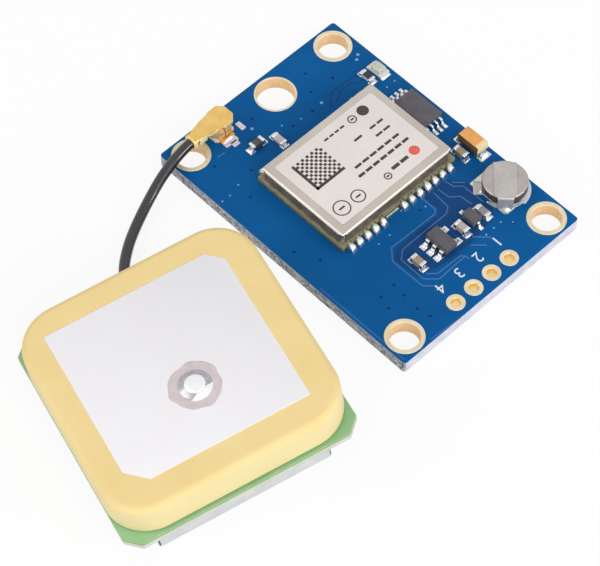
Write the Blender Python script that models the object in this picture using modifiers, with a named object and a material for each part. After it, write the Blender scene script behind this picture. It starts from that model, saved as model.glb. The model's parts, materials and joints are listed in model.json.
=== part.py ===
"""Satellite positioning board with an active patch antenna on a short coaxial lead.

Frame: the origin is the centre of the board's underside, +X runs along the board's long
edge, +Y along its short edge and +Z up. Lengths are in metres, angles in radians.
The antenna is modelled flat in its own frame (origin at the centre of its can's underside)
and hangs on an empty that holds its place, its turn and its lean.
"""

import math

import bmesh
import bpy
from mathutils import Matrix, Vector

MM = 0.001
MODEL_NAME = "gps_module"

# Clearances
SEAT_GAP = 0.05 * MM
FIT_GAP = 0.02 * MM
MERGE_DISTANCE = 0.0001 * MM
CUT_MARGIN = 0.5 * MM

# Circuit board
BOARD_LENGTH = 35.2 * MM
BOARD_WIDTH = 24.8 * MM
BOARD_THICKNESS = 1.6 * MM
BOARD_CORNER_RADIUS = 0.35 * MM

# Plated holes of the board
PLATING_WALL = 0.07 * MM
PLATING_FLANGE = 0.06 * MM
PLATING_PROUD = 0.02 * MM
CORNER_HOLE_INSET = 2.29 * MM
CORNER_HOLE_RADIUS = 1.56 * MM
CORNER_RING_WIDTH = 0.49 * MM
LARGE_HOLE_INSET = 2.65 * MM
LARGE_HOLE_Y = 1.45 * MM
LARGE_HOLE_RADIUS = 2.02 * MM
LARGE_RING_WIDTH = 0.23 * MM
HEADER_COUNT = 4
HEADER_PITCH = 2.54 * MM
HEADER_INSET = 1.57 * MM
HEADER_CENTRE_Y = 0.13 * MM
HEADER_HOLE_RADIUS = 0.5 * MM
HEADER_RING_WIDTH = 0.475 * MM

# Receiver module
MODULE_X = -2.07 * MM
MODULE_Y = 0.47 * MM
MODULE_WIDTH = 12.2 * MM
MODULE_LENGTH = 16.0 * MM
MODULE_BASE_THICKNESS = 0.8 * MM
CASTELLATION_RADIUS = 0.25 * MM
CASTELLATION_PITCH = 1.1 * MM
CASTELLATION_END_INSET = 1.0 * MM
CASTELLATION_BREAK_Y = -1.1 * MM
CASTELLATION_BREAK = 3.0 * MM
SOLDER_WIDTH = 0.74 * MM
SOLDER_REACH = 0.82 * MM
SOLDER_RISE = 0.62 * MM
SOLDER_TOE_HEIGHT = 0.15 * MM
SOLDER_TOE_WIDTH = 0.6 * MM
CAN_SIDE_INSET = 0.25 * MM
CAN_END_INSET = 0.22 * MM
CAN_HEIGHT = 1.5 * MM
CAN_SHEET = 0.2 * MM
CAN_BEND_RADIUS = 0.4 * MM
LABEL_INSET = 0.95 * MM
LABEL_CORNER_RADIUS = 0.35 * MM
LABEL_FILM = 0.06 * MM
RECEIVER_CHIP_SIDE = 5.0 * MM
RECEIVER_CHIP_HEIGHT = 0.85 * MM
RECEIVER_CHIP_GAP = 1.2 * MM
CRYSTAL_LENGTH = 2.5 * MM
CRYSTAL_WIDTH = 2.0 * MM
CRYSTAL_HEIGHT = 0.7 * MM
CRYSTAL_END_GAP = 1.4 * MM
RADIO_FILTER_LENGTH = 1.4 * MM
RADIO_FILTER_WIDTH = 1.1 * MM
RADIO_FILTER_HEIGHT = 0.45 * MM
RADIO_FILTER_END_GAP = 0.6 * MM

# Places of the small parts: centres, or gaps to the module beside them
MEMORY_X = -3.0 * MM
MEMORY_MODULE_GAP = 0.1 * MM
MODULE_CAPACITOR_X = 3.85 * MM
MODULE_CAPACITOR_GAP = 0.68 * MM
TANTALUM_X = 3.95 * MM
TANTALUM_CAPACITOR_GAP = 0.4 * MM
LED_X = -9.65 * MM
LED_Y = 11.2 * MM
LED_RESISTOR_X = -9.83 * MM
LED_RESISTOR_Y = 9.75 * MM
INPUT_CAPACITOR_X = 10.25 * MM
INPUT_CAPACITOR_Y = -3.1 * MM
REGULATOR_X = 10.15 * MM
REGULATOR_Y = 0.25 * MM
OUTPUT_CAPACITOR_X = 10.4 * MM
OUTPUT_CAPACITOR_Y = 2.95 * MM
DIODE_X = 10.25 * MM
DIODE_Y = 4.5 * MM
CHARGE_RESISTOR_X = 10.4 * MM
CHARGE_RESISTOR_Y = 6.0 * MM
AERIAL_CAPACITOR_SOLDER_GAP = 0.56 * MM
AERIAL_CAPACITOR_Y = -2.45 * MM
AERIAL_INDUCTOR_OFF_CENTRE = 0.12 * MM
AERIAL_INDUCTOR_Y = -4.55 * MM

# Chip capacitors, resistors and the inductor
CHIP_LENGTH = 1.6 * MM
CHIP_WIDTH = 0.8 * MM
CHIP_TERMINAL = 0.35 * MM
CHIP_SHEET = 0.05 * MM
CHIP_EDGE = 0.04 * MM
CAPACITOR_HEIGHT = 0.8 * MM
RESISTOR_HEIGHT = 0.45 * MM

# Status light
LED_LENGTH = 2.0 * MM
LED_WIDTH = 1.25 * MM
LED_BASE_HEIGHT = 0.35 * MM
LED_TERMINAL = 0.3 * MM
LED_LENS_LENGTH = 1.25 * MM
LED_LENS_WIDTH = 1.2 * MM
LED_LENS_HEIGHT = 0.42 * MM
LED_LENS_DRAFT = 0.07 * MM

# Moulded packages with gull-wing leads
PACKAGE_DRAFT = 0.06 * MM
PACKAGE_EDGE = 0.05 * MM
LEAD_SHEET = 0.14 * MM
LEAD_SLOPE = 0.16 * MM
MEMORY_ROW = 3.0 * MM
MEMORY_ACROSS = 4.4 * MM
MEMORY_HEIGHT = 0.9 * MM
MEMORY_STANDOFF = 0.12 * MM
MEMORY_SPAN = 6.4 * MM
MEMORY_PITCH = 0.65 * MM
MEMORY_LEADS_PER_SIDE = 4
MEMORY_LEAD_WIDTH = 0.26 * MM
REGULATOR_ROW = 2.9 * MM
REGULATOR_ACROSS = 1.6 * MM
REGULATOR_HEIGHT = 1.05 * MM
REGULATOR_STANDOFF = 0.1 * MM
REGULATOR_SPAN = 2.8 * MM
REGULATOR_PITCH = 0.95 * MM
REGULATOR_LEAD_WIDTH = 0.4 * MM
DIODE_ROW = 1.25 * MM
DIODE_ACROSS = 1.75 * MM
DIODE_HEIGHT = 0.95 * MM
DIODE_STANDOFF = 0.08 * MM
DIODE_SPAN = 2.5 * MM
DIODE_LEAD_WIDTH = 0.32 * MM

# Tantalum capacitor
TANTALUM_LENGTH = 2.94 * MM
TANTALUM_WIDTH = 1.6 * MM
TANTALUM_HEIGHT = 1.36 * MM
TANTALUM_DRAFT = 0.08 * MM
TANTALUM_EDGE = 0.06 * MM
TANTALUM_STANDOFF = 0.25 * MM
TANTALUM_TERMINAL_WIDTH = 1.2 * MM
TANTALUM_TERMINAL_FOOT = 0.7 * MM
TANTALUM_SHEET = 0.1 * MM

# Backup cell
CELL_X = 9.86 * MM
CELL_Y = 9.7 * MM
CELL_RADIUS = 2.38 * MM
CELL_HEIGHT = 1.45 * MM
CELL_SHEET = 0.15 * MM
CELL_EDGE_RADIUS = 0.16 * MM
CELL_CRIMP_STEP = 0.3 * MM
CELL_CAP_DEPTH = 0.5 * MM
CELL_GASKET_WALL = 0.16 * MM
CELL_CRIMP_RISE = 0.2 * MM
CELL_TAB_SHEET = 0.12 * MM
CELL_STRIP_WIDTH = 2.36 * MM
CELL_LEG_WIDTH = 1.67 * MM
CELL_FOOT_LENGTH = 0.55 * MM
CELL_STRIP_BACK = 2.0 * MM
CELL_BOTTOM_FOOT_LENGTH = 0.8 * MM
CELL_TOP_TAB_TURN = math.radians(-45.0)
CELL_BOTTOM_TAB_TURN = math.radians(225.0)

# Coaxial socket
SOCKET_INSET = 1.9 * MM
SOCKET_Y = -6.05 * MM
SOCKET_BASE_SIDE = 2.6 * MM
SOCKET_BASE_HEIGHT = 0.35 * MM
SOCKET_BASE_CHAMFER = 0.3 * MM
SOCKET_SHELL_RADIUS = 1.0 * MM
SOCKET_SHELL_WALL = 0.15 * MM
SOCKET_SHELL_HEIGHT = 0.85 * MM
SOCKET_GROOVE_DEPTH = 0.07 * MM
SOCKET_GROOVE_HEIGHT = 0.25 * MM
SOCKET_PIN_RADIUS = 0.22 * MM
SOCKET_PIN_HEIGHT = 0.7 * MM
SOCKET_ARM_WIDTH = 1.8 * MM
SOCKET_ARM_SHEET = 0.12 * MM
SOCKET_FOOT_REACH = 0.25 * MM

# Coaxial plug, one folded and crimped sheet
PLUG_HEADROOM = 0.63 * MM
PLUG_SHEET = 0.2 * MM
PLUG_EDGE = 0.05 * MM
PLUG_SKIRT_CLEARANCE = 0.22 * MM
PLUG_SKIRT_BASE_GAP = 0.2 * MM
PLUG_SKIRT_LIP = 0.06 * MM
PLUG_HEAD_HALF_WIDTH = 1.24 * MM
PLUG_HEAD_FRONT = 1.62 * MM
PLUG_HEAD_CHAMFER = 0.62 * MM
PLUG_HEAD_BACK = 0.3 * MM
PLUG_NECK_HALF_WIDTH = 1.1 * MM
PLUG_NECK_BACK = 1.6 * MM
PLUG_WALL_SOCKET_GAP = 0.13 * MM
PLUG_SLIT_WIDTH = 0.1 * MM
PLUG_SLIT_REACH = 0.6 * MM
PLUG_SLIT_Y = 0.2 * MM
PLUG_CRIMP_START = 2.05 * MM
PLUG_CRIMP_LENGTH = 1.7 * MM
PLUG_CRIMP_WALL = 0.19 * MM
PLUG_CRIMP_SLIT = 0.12 * MM
PLUG_BRIDGE_HALF_WIDTH = 0.62 * MM
PLUG_INSULATOR_SOCKET_GAP = 0.16 * MM
PLUG_CONTACT_WALL = 0.1 * MM
PLUG_CONTACT_LENGTH = 0.75 * MM

# Antenna lead
LEAD_RADIUS = 0.565 * MM
LEAD_START = 1.95 * MM
LEAD_POINT_STEP = 1.2 * MM
LEAD_BEVEL_RESOLUTION = 2

# Antenna place: the lead is stiff, so it holds one side of the antenna off the floor
ANTENNA_X = 5.99 * MM
ANTENNA_Y = -30.16 * MM
ANTENNA_TURN = math.radians(-15.93)
ANTENNA_LEAN = math.radians(6.98)

# Antenna can
ANTENNA_CAN_LEFT = 9.6 * MM
ANTENNA_CAN_RIGHT = 12.4 * MM
ANTENNA_CAN_NEAR = 9.55 * MM
ANTENNA_CAN_FAR = 9.07 * MM
ANTENNA_CAN_DEPTH = 2.35 * MM
ANTENNA_CAN_SHEET = 0.2 * MM
ANTENNA_CAN_BEND = 0.28 * MM
ANTENNA_CAN_SLOT = 0.16 * MM
ANTENNA_CAN_SLOT_RISE = 0.4 * MM
ANTENNA_CAN_SLOT_REACH = 0.8 * MM

# Antenna board, tape and ceramic
ANTENNA_BOARD_LENGTH = 25.7 * MM
ANTENNA_BOARD_WIDTH = 25.0 * MM
ANTENNA_BOARD_THICKNESS = 1.0 * MM
ANTENNA_BOARD_CHAMFER = 1.45 * MM
TAPE_INSET = 0.6 * MM
TAPE_THICKNESS = 0.15 * MM
CERAMIC_SIDE = 25.0 * MM
CERAMIC_HEIGHT = 3.95 * MM
CERAMIC_CORNER_RADIUS = 4.55 * MM
CERAMIC_TOP_FILLET = 0.8 * MM
ELECTRODE_SIDE = 18.9 * MM
ELECTRODE_OFFSET_U = -0.1 * MM
ELECTRODE_OFFSET_V = -0.26 * MM
ELECTRODE_FAR_CUT = 1.51 * MM
ELECTRODE_NEAR_CUT = 1.97 * MM
ELECTRODE_FILM = 0.04 * MM
FEED_U = 2.8 * MM
FEED_V = 0.34 * MM
FEED_PIN_RADIUS = 0.45 * MM
FEED_HEAD_RADIUS = 1.05 * MM
FEED_HEAD_DOME = 0.32 * MM
FEED_HEAD_RIM = 0.2 * MM
FEED_SOLDER_RADIUS = 1.8 * MM
FEED_SOLDER_HEIGHT = 0.3 * MM
FEED_SOLDER_WAIST = 0.15 * MM
FEED_SOLDER_TOE = 0.06 * MM
FEED_PIN_TAIL = 0.6 * MM

# Inside the antenna can
AMPLIFIER_LENGTH = 2.1 * MM
AMPLIFIER_WIDTH = 1.3 * MM
AMPLIFIER_HEIGHT = 0.95 * MM
AMPLIFIER_FILTER_GAP = 0.85 * MM
ANTENNA_FILTER_SIDE = 3.0 * MM
ANTENNA_FILTER_HEIGHT = 1.0 * MM
ANTENNA_FILTER_WALL_GAP = 1.5 * MM
ANTENNA_FILTER_V = 1.0 * MM
JOINT_CAN_GAP = 1.05 * MM
JOINT_V = 9.35 * MM
JOINT_LENGTH = 2.0 * MM
JOINT_WIDTH = 1.3 * MM
JOINT_HEIGHT = 0.75 * MM
JOINT_EDGE = 0.25 * MM

# Facets
HOLE_STEPS = 28
SMALL_HOLE_STEPS = 16
CORNER_STEPS = 6
NOTCH_STEPS = 6
BEND_SEGMENTS = 3
DOME_STEPS = 3
CURVE_STEPS = 20
EDGE_SEGMENTS = 1
SMOOTH_ANGLE = math.radians(35.0)
BEVEL_ANGLE = math.radians(30.0)
ROUND_PROFILE = 0.5
FACING_LIMIT = 0.9
SPACING_SLACK = 0.01

# Finishes: colour, roughness, metallic
FINISHES = {
    "blue_mask": ((0.012, 0.09, 0.30), 0.35, 0.0),
    "gold": ((0.83, 0.62, 0.32), 0.3, 1.0),
    "green_laminate": ((0.20, 0.41, 0.16), 0.5, 0.0),
    "module_laminate": ((0.28, 0.22, 0.10), 0.6, 0.0),
    "shield": ((0.58, 0.55, 0.50), 0.35, 0.9),
    "label": ((0.80, 0.77, 0.74), 0.5, 0.0),
    "solder": ((0.72, 0.73, 0.74), 0.3, 0.9),
    "black_resin": ((0.06, 0.06, 0.07), 0.5, 0.0),
    "white_plastic": ((0.80, 0.79, 0.76), 0.5, 0.0),
    "clear_resin": ((0.75, 0.80, 0.72), 0.2, 0.0),
    "tan_ceramic": ((0.42, 0.36, 0.26), 0.5, 0.0),
    "pale_ceramic": ((0.62, 0.58, 0.58), 0.5, 0.0),
    "grey_ferrite": ((0.10, 0.10, 0.11), 0.6, 0.0),
    "orange_resin": ((0.80, 0.38, 0.11), 0.45, 0.0),
    "steel": ((0.62, 0.60, 0.58), 0.3, 0.9),
    "grey_seal": ((0.12, 0.12, 0.13), 0.6, 0.0),
    "black_jacket": ((0.02, 0.02, 0.02), 0.4, 0.0),
    "yellow_ceramic": ((0.87, 0.66, 0.29), 0.7, 0.0),
    "silver_film": ((0.85, 0.84, 0.86), 0.5, 0.3),
    "tin_plate": ((0.60, 0.60, 0.62), 0.35, 0.9),
    "tape": ((0.75, 0.73, 0.65), 0.7, 0.0),
}


# Scene and collections

def clear_scene():
    """Remove whatever the scene starts with."""
    for old in list(bpy.data.objects):
        bpy.data.objects.remove(old, do_unlink=True)


def add_collection(name):
    """Link a new collection to the scene and return it."""
    made = bpy.data.collections.new(name)
    bpy.context.scene.collection.children.link(made)
    return made


clear_scene()
PARTS = add_collection(MODEL_NAME)
CUTTERS = add_collection("cutters")


def dress(thing, finish):
    """Give an object a material of its own in the named finish."""
    colour, roughness, metallic = FINISHES[finish]
    material = bpy.data.materials.new(f"{thing.name}_finish")
    material.use_nodes = True
    shader = material.node_tree.nodes["Principled BSDF"]
    shader.inputs["Base Color"].default_value = (*colour, 1.0)
    shader.inputs["Roughness"].default_value = roughness
    shader.inputs["Metallic"].default_value = metallic
    thing.data.materials.append(material)


def add_part(name, data, finish, place=(0.0, 0.0, 0.0), turn=0.0, parent=None):
    """Add a named sub-part that stands at a place, turned about +Z."""
    part = bpy.data.objects.new(name, data)
    PARTS.objects.link(part)
    part.location = place
    part.rotation_euler = (0.0, 0.0, turn)
    part.parent = parent
    dress(part, finish)
    return part


def as_tool(tool):
    """Keep an object only as a cutter or as a piece for a union."""
    for collection in list(tool.users_collection):
        collection.objects.unlink(tool)
    CUTTERS.objects.link(tool)
    tool.hide_render = True
    tool.display_type = "WIRE"
    return tool


# Shapes

def mesh_from(name, shape):
    """Turn a finished bmesh into a mesh, with its faces pointing out."""
    bmesh.ops.recalc_face_normals(shape, faces=shape.faces)
    mesh = bpy.data.meshes.new(name)
    shape.to_mesh(mesh)
    shape.free()
    return mesh


def add_block(shape, size, centre):
    """Add a box to a bmesh and return its corners."""
    placing = Matrix.Translation(centre) @ Matrix.Diagonal((*size, 1.0))
    return bmesh.ops.create_cube(shape, size=1.0, matrix=placing)["verts"]


def block_mesh(name, blocks):
    """Mesh of separate boxes, each given by its size and its centre."""
    shape = bmesh.new()
    for size, centre in blocks:
        add_block(shape, size, centre)
    return mesh_from(name, shape)


def moulded_mesh(name, size, base, draft):
    """Moulded body that stands on base, its sides leaning in above and below mid height."""
    shape = bmesh.new()
    centre = Vector(base) + Vector((0.0, 0.0, size[2] / 2))
    corners = add_block(shape, size, centre)
    everything = shape.verts[:] + shape.edges[:] + shape.faces[:]
    bmesh.ops.bisect_plane(shape, geom=everything, plane_co=centre, plane_no=(0.0, 0.0, 1.0))
    for corner in corners:
        corner.co.x -= math.copysign(draft, corner.co.x - centre.x)
        corner.co.y -= math.copysign(draft, corner.co.y - centre.y)
    return mesh_from(name, shape)


def open_box_mesh(name, size, base, open_face):
    """Box without one face, as the surface that a sheet follows; open_face is its direction."""
    shape = bmesh.new()
    add_block(shape, size, Vector(base) + Vector((0.0, 0.0, size[2] / 2)))
    bmesh.ops.recalc_face_normals(shape, faces=shape.faces)
    towards = Vector(open_face)
    lid = [face for face in shape.faces if face.normal.dot(towards) > FACING_LIMIT]
    bmesh.ops.delete(shape, geom=lid, context="FACES")
    mesh = bpy.data.meshes.new(name)
    shape.to_mesh(mesh)
    shape.free()
    return mesh


def add_strip(shape, path, across, widths):
    """Add a bent strip: a line of points drawn out sideways to the width at each point."""
    line = [shape.verts.new(point) for point in path]
    edges = [shape.edges.new(pair) for pair in zip(line, line[1:])]
    grown = bmesh.ops.extrude_edge_only(shape, edges=edges)["geom"]
    far_side = [item for item in grown if isinstance(item, bmesh.types.BMVert)]
    near_side = {vertex.co.copy().freeze(): vertex for vertex in line}
    width_at = {point.copy().freeze(): width for point, width in zip(path, widths)}
    for vertex in far_side:
        start = vertex.co.copy().freeze()
        half = across * width_at[start] / 2
        near_side[start].co = Vector(start) - half
        vertex.co = Vector(start) + half


def turned_mesh(name, profile, closed):
    """Half section as an edge chain of (radius, height), outer side from top to bottom."""
    mesh = bpy.data.meshes.new(name)
    points = [(radius, 0.0, height) for radius, height in profile]
    edges = [(index, index + 1) for index in range(len(points) - 1)]
    if closed:
        edges.append((len(points) - 1, 0))
    mesh.from_pydata(points, edges, [])
    return mesh


def spin(thing, steps):
    """Carry an edge chain once round the Z axis."""
    screw = thing.modifiers.new("turned", "SCREW")
    screw.axis = "Z"
    screw.angle = 2 * math.pi
    screw.steps = steps
    screw.render_steps = steps
    screw.use_merge_vertices = True
    screw.merge_threshold = MERGE_DISTANCE


def add_turned(name, profile, closed, finish, place=(0.0, 0.0, 0.0), steps=HOLE_STEPS, parent=None):
    """Add a turned sub-part."""
    part = add_part(name, turned_mesh(name, profile, closed), finish, place, parent=parent)
    spin(part, steps)
    return part


def rounded_rectangle(length, width, radius):
    """Corner points of a rectangle with round corners, anticlockwise about its centre."""
    points = []
    for quarter in range(4):
        start = quarter * math.pi / 2
        side_x = 1 if quarter in (0, 3) else -1
        side_y = 1 if quarter in (0, 1) else -1
        centre_x = side_x * (length / 2 - radius)
        centre_y = side_y * (width / 2 - radius)
        for step in range(CORNER_STEPS + 1):
            angle = start + step / CORNER_STEPS * math.pi / 2
            points.append((centre_x + radius * math.cos(angle), centre_y + radius * math.sin(angle)))
    return points


def circle(radius, steps, centre=(0.0, 0.0)):
    """Points of a circle."""
    turns = [2 * math.pi * step / steps for step in range(steps)]
    return [(centre[0] + radius * math.cos(turn), centre[1] + radius * math.sin(turn)) for turn in turns]


def cut_corner_square(side, cuts, offset=(0.0, 0.0)):
    """Square outline with its corners cut straight off, cuts from (+, +) anticlockwise."""
    half = side / 2
    corners = [(half, half), (-half, half), (-half, -half), (half, -half)]
    points = []
    for index, ((x, y), cut_size) in enumerate(zip(corners, cuts)):
        along_y = (x, y - math.copysign(cut_size, y))
        along_x = (x - math.copysign(cut_size, x), y)
        pair = [along_y, along_x] if index % 2 == 0 else [along_x, along_y]
        points.extend(pair if cut_size > 0 else [(x, y)])
    return [(x + offset[0], y + offset[1]) for x, y in points]


def plate_curve(name, outlines, thickness):
    """Flat outline, with holes as further outlines, drawn out to a thickness about z = 0."""
    curve = bpy.data.curves.new(name, "CURVE")
    curve.dimensions = "2D"
    curve.fill_mode = "BOTH"
    curve.extrude = thickness / 2
    for points in outlines:
        spline = curve.splines.new("POLY")
        spline.points.add(len(points) - 1)
        spline.use_cyclic_u = True
        for point, (x, y) in zip(spline.points, points):
            point.co = (x, y, 0.0, 1.0)
    return curve


def add_plate(name, outlines, thickness, finish, place, parent=None):
    """Add a flat plate whose underside is at the height of its place."""
    centre = Vector(place) + Vector((0.0, 0.0, thickness / 2))
    return add_part(name, plate_curve(name, outlines, thickness), finish, centre, parent=parent)


def to_mesh_part(part):
    """Replace a curve sub-part by a welded mesh of the same name, so that it can be cut."""
    bpy.context.view_layer.update()
    evaluated = part.evaluated_get(bpy.context.evaluated_depsgraph_get())
    mesh = bpy.data.meshes.new_from_object(evaluated)
    shape = bmesh.new()
    shape.from_mesh(mesh)
    bmesh.ops.remove_doubles(shape, verts=shape.verts, dist=MERGE_DISTANCE)
    bmesh.ops.recalc_face_normals(shape, faces=shape.faces)
    shape.to_mesh(mesh)
    shape.free()
    name = part.name
    solid = bpy.data.objects.new(f"{name}_solid", mesh)
    PARTS.objects.link(solid)
    solid.parent = part.parent
    solid.matrix_world = part.matrix_world
    bpy.data.objects.remove(part, do_unlink=True)
    solid.name = name
    return solid


def add_tube(name, points, radius, finish):
    """Add a round cord through points, with closed ends."""
    curve = bpy.data.curves.new(name, "CURVE")
    curve.dimensions = "3D"
    curve.bevel_depth = radius
    curve.bevel_resolution = LEAD_BEVEL_RESOLUTION
    curve.use_fill_caps = True
    spline = curve.splines.new("POLY")
    spline.points.add(len(points) - 1)
    for point, place in zip(spline.points, points):
        point.co = (*place, 1.0)
    return add_part(name, curve, finish)


# Operations

def join_with(part, tool, operation):
    """Cut a tool out of a part, or join the two."""
    step = part.modifiers.new(operation.lower(), "BOOLEAN")
    step.operation = operation
    step.solver = "EXACT"
    step.object = tool


def soften(part, width, segments=EDGE_SEGMENTS):
    """Round the edges of a part."""
    bevel = part.modifiers.new("edges", "BEVEL")
    bevel.limit_method = "ANGLE"
    bevel.angle_limit = BEVEL_ANGLE
    bevel.width = width
    bevel.segments = segments


def thicken(part, sheet, offset):
    """Give a surface its sheet: offset -1 grows it inwards, 1 outwards, 0 both ways."""
    wall = part.modifiers.new("sheet", "SOLIDIFY")
    wall.thickness = sheet
    wall.offset = offset
    wall.use_even_offset = True


def shade_round(part):
    """Shade the round faces of a mesh smooth."""
    part.data.shade_smooth()
    part.data.set_sharp_from_angle(angle=SMOOTH_ANGLE)


def block_tool(name, size, centre, turn=0.0, parent=None):
    """Add a box that cuts or joins, turned about its own upright axis."""
    mesh = block_mesh(name, [(size, (0.0, 0.0, 0.0))])
    tool = bpy.data.objects.new(name, mesh)
    PARTS.objects.link(tool)
    tool.location = centre
    tool.rotation_euler = (0.0, 0.0, turn)
    tool.parent = parent
    return as_tool(tool)


# Circuit board and its plated holes

def corner_hole_places():
    """Centres of the four mounting holes."""
    x = BOARD_LENGTH / 2 - CORNER_HOLE_INSET
    y = BOARD_WIDTH / 2 - CORNER_HOLE_INSET
    return [(side_x * x, side_y * y) for side_x in (-1, 1) for side_y in (-1, 1)]


def large_hole_places():
    """Centre of the large hole, beside the board's far short edge."""
    return [(LARGE_HOLE_INSET - BOARD_LENGTH / 2, LARGE_HOLE_Y)]


def header_places():
    """Centres of the header holes, along the board's short edge."""
    x = BOARD_LENGTH / 2 - HEADER_INSET
    first = HEADER_CENTRE_Y - (HEADER_COUNT - 1) / 2 * HEADER_PITCH
    return [(x, first + index * HEADER_PITCH) for index in range(HEADER_COUNT)]


def eyelet_profile(hole_radius, ring_width):
    """Section of a plated hole: a barrel with a flat ring at each face of the board."""
    ring_radius = hole_radius + ring_width
    barrel = hole_radius + PLATING_WALL
    top = BOARD_THICKNESS + PLATING_PROUD
    return [
        (hole_radius, top),
        (ring_radius, top),
        (ring_radius, BOARD_THICKNESS - PLATING_FLANGE),
        (barrel, BOARD_THICKNESS - PLATING_FLANGE),
        (barrel, PLATING_FLANGE),
        (ring_radius, PLATING_FLANGE),
        (ring_radius, 0.0),
        (hole_radius, 0.0),
    ]


def eyelet_pocket_profile(hole_radius, ring_width):
    """Section of the board's hole round such a plating, with its shallow pockets."""
    barrel = hole_radius + PLATING_WALL + FIT_GAP
    ring = hole_radius + ring_width + FIT_GAP
    upper = BOARD_THICKNESS - PLATING_FLANGE - FIT_GAP
    lower = PLATING_FLANGE + FIT_GAP
    return [
        (0.0, BOARD_THICKNESS + CUT_MARGIN),
        (ring, BOARD_THICKNESS + CUT_MARGIN),
        (ring, upper),
        (barrel, upper),
        (barrel, lower),
        (ring, lower),
        (ring, -CUT_MARGIN),
        (0.0, -CUT_MARGIN),
    ]


def build_board():
    """Board with its plated mounting holes, large hole and header holes."""
    outline = rounded_rectangle(BOARD_LENGTH, BOARD_WIDTH, BOARD_CORNER_RADIUS)
    board = add_plate("circuit_board", [outline], BOARD_THICKNESS, "blue_mask", (0.0, 0.0, 0.0))
    board = to_mesh_part(board)
    groups = (
        ("corner_plating", corner_hole_places(), CORNER_HOLE_RADIUS, CORNER_RING_WIDTH, HOLE_STEPS),
        ("large_hole_plating", large_hole_places(), LARGE_HOLE_RADIUS, LARGE_RING_WIDTH, HOLE_STEPS),
        ("header_plating", header_places(), HEADER_HOLE_RADIUS, HEADER_RING_WIDTH, SMALL_HOLE_STEPS),
    )
    for name, places, hole_radius, ring_width, steps in groups:
        plating_profile = eyelet_profile(hole_radius, ring_width)
        pocket_profile = eyelet_pocket_profile(hole_radius, ring_width)
        for index, (x, y) in enumerate(places):
            plating_name = f"{name}_{index + 1}"
            plating = add_turned(plating_name, plating_profile, True, "gold", (x, y, 0.0), steps)
            shade_round(plating)
            pocket_name = f"{plating_name}_hole"
            pocket = add_turned(pocket_name, pocket_profile, False, "gold", (x, y, 0.0), steps)
            join_with(board, as_tool(pocket), "DIFFERENCE")


# Receiver module

def castellation_offsets():
    """Places of the half holes along one long side, about its centre: two rows and a break."""
    row_end = MODULE_LENGTH / 2 - CASTELLATION_END_INSET
    lower_space = CASTELLATION_BREAK_Y - CASTELLATION_BREAK / 2 + row_end
    upper_space = row_end - CASTELLATION_BREAK_Y - CASTELLATION_BREAK / 2
    lower_count = 1 + math.floor(lower_space / CASTELLATION_PITCH + SPACING_SLACK)
    upper_count = 1 + math.floor(upper_space / CASTELLATION_PITCH + SPACING_SLACK)
    lower = [-row_end + index * CASTELLATION_PITCH for index in range(lower_count)]
    upper = [row_end - index * CASTELLATION_PITCH for index in range(upper_count)]
    return lower + upper[::-1]


def module_outline():
    """Outline of the module's base: a rectangle with half holes along its long sides."""
    half_width = MODULE_WIDTH / 2
    half_length = MODULE_LENGTH / 2
    right = [(half_width, -half_length)]
    for offset in castellation_offsets():
        for step in range(NOTCH_STEPS + 1):
            angle = -math.pi / 2 - step / NOTCH_STEPS * math.pi
            x = half_width + CASTELLATION_RADIUS * math.cos(angle)
            right.append((x, offset + CASTELLATION_RADIUS * math.sin(angle)))
    right.append((half_width, half_length))
    left = [(-x, y) for x, y in reversed(right)]
    return right + left


def solder_fillets_mesh(name):
    """Solder wedges at the half holes: low at the board's pad, high at the module's side."""
    shape = bmesh.new()
    for side in (-1, 1):
        inner = side * (MODULE_WIDTH / 2 - CASTELLATION_RADIUS)
        for offset in castellation_offsets():
            reach = SOLDER_REACH + CASTELLATION_RADIUS
            centre = (inner + side * reach / 2, offset, SOLDER_RISE / 2)
            corners = add_block(shape, (reach, SOLDER_WIDTH, SOLDER_RISE), centre)
            toe = [corner for corner in corners if abs(corner.co.x) > abs(inner) + reach / 2]
            for corner in toe:
                corner.co.y = offset + math.copysign(SOLDER_TOE_WIDTH / 2, corner.co.y - offset)
                corner.co.z = min(corner.co.z, SOLDER_TOE_HEIGHT)
    return mesh_from(name, shape)


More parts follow.
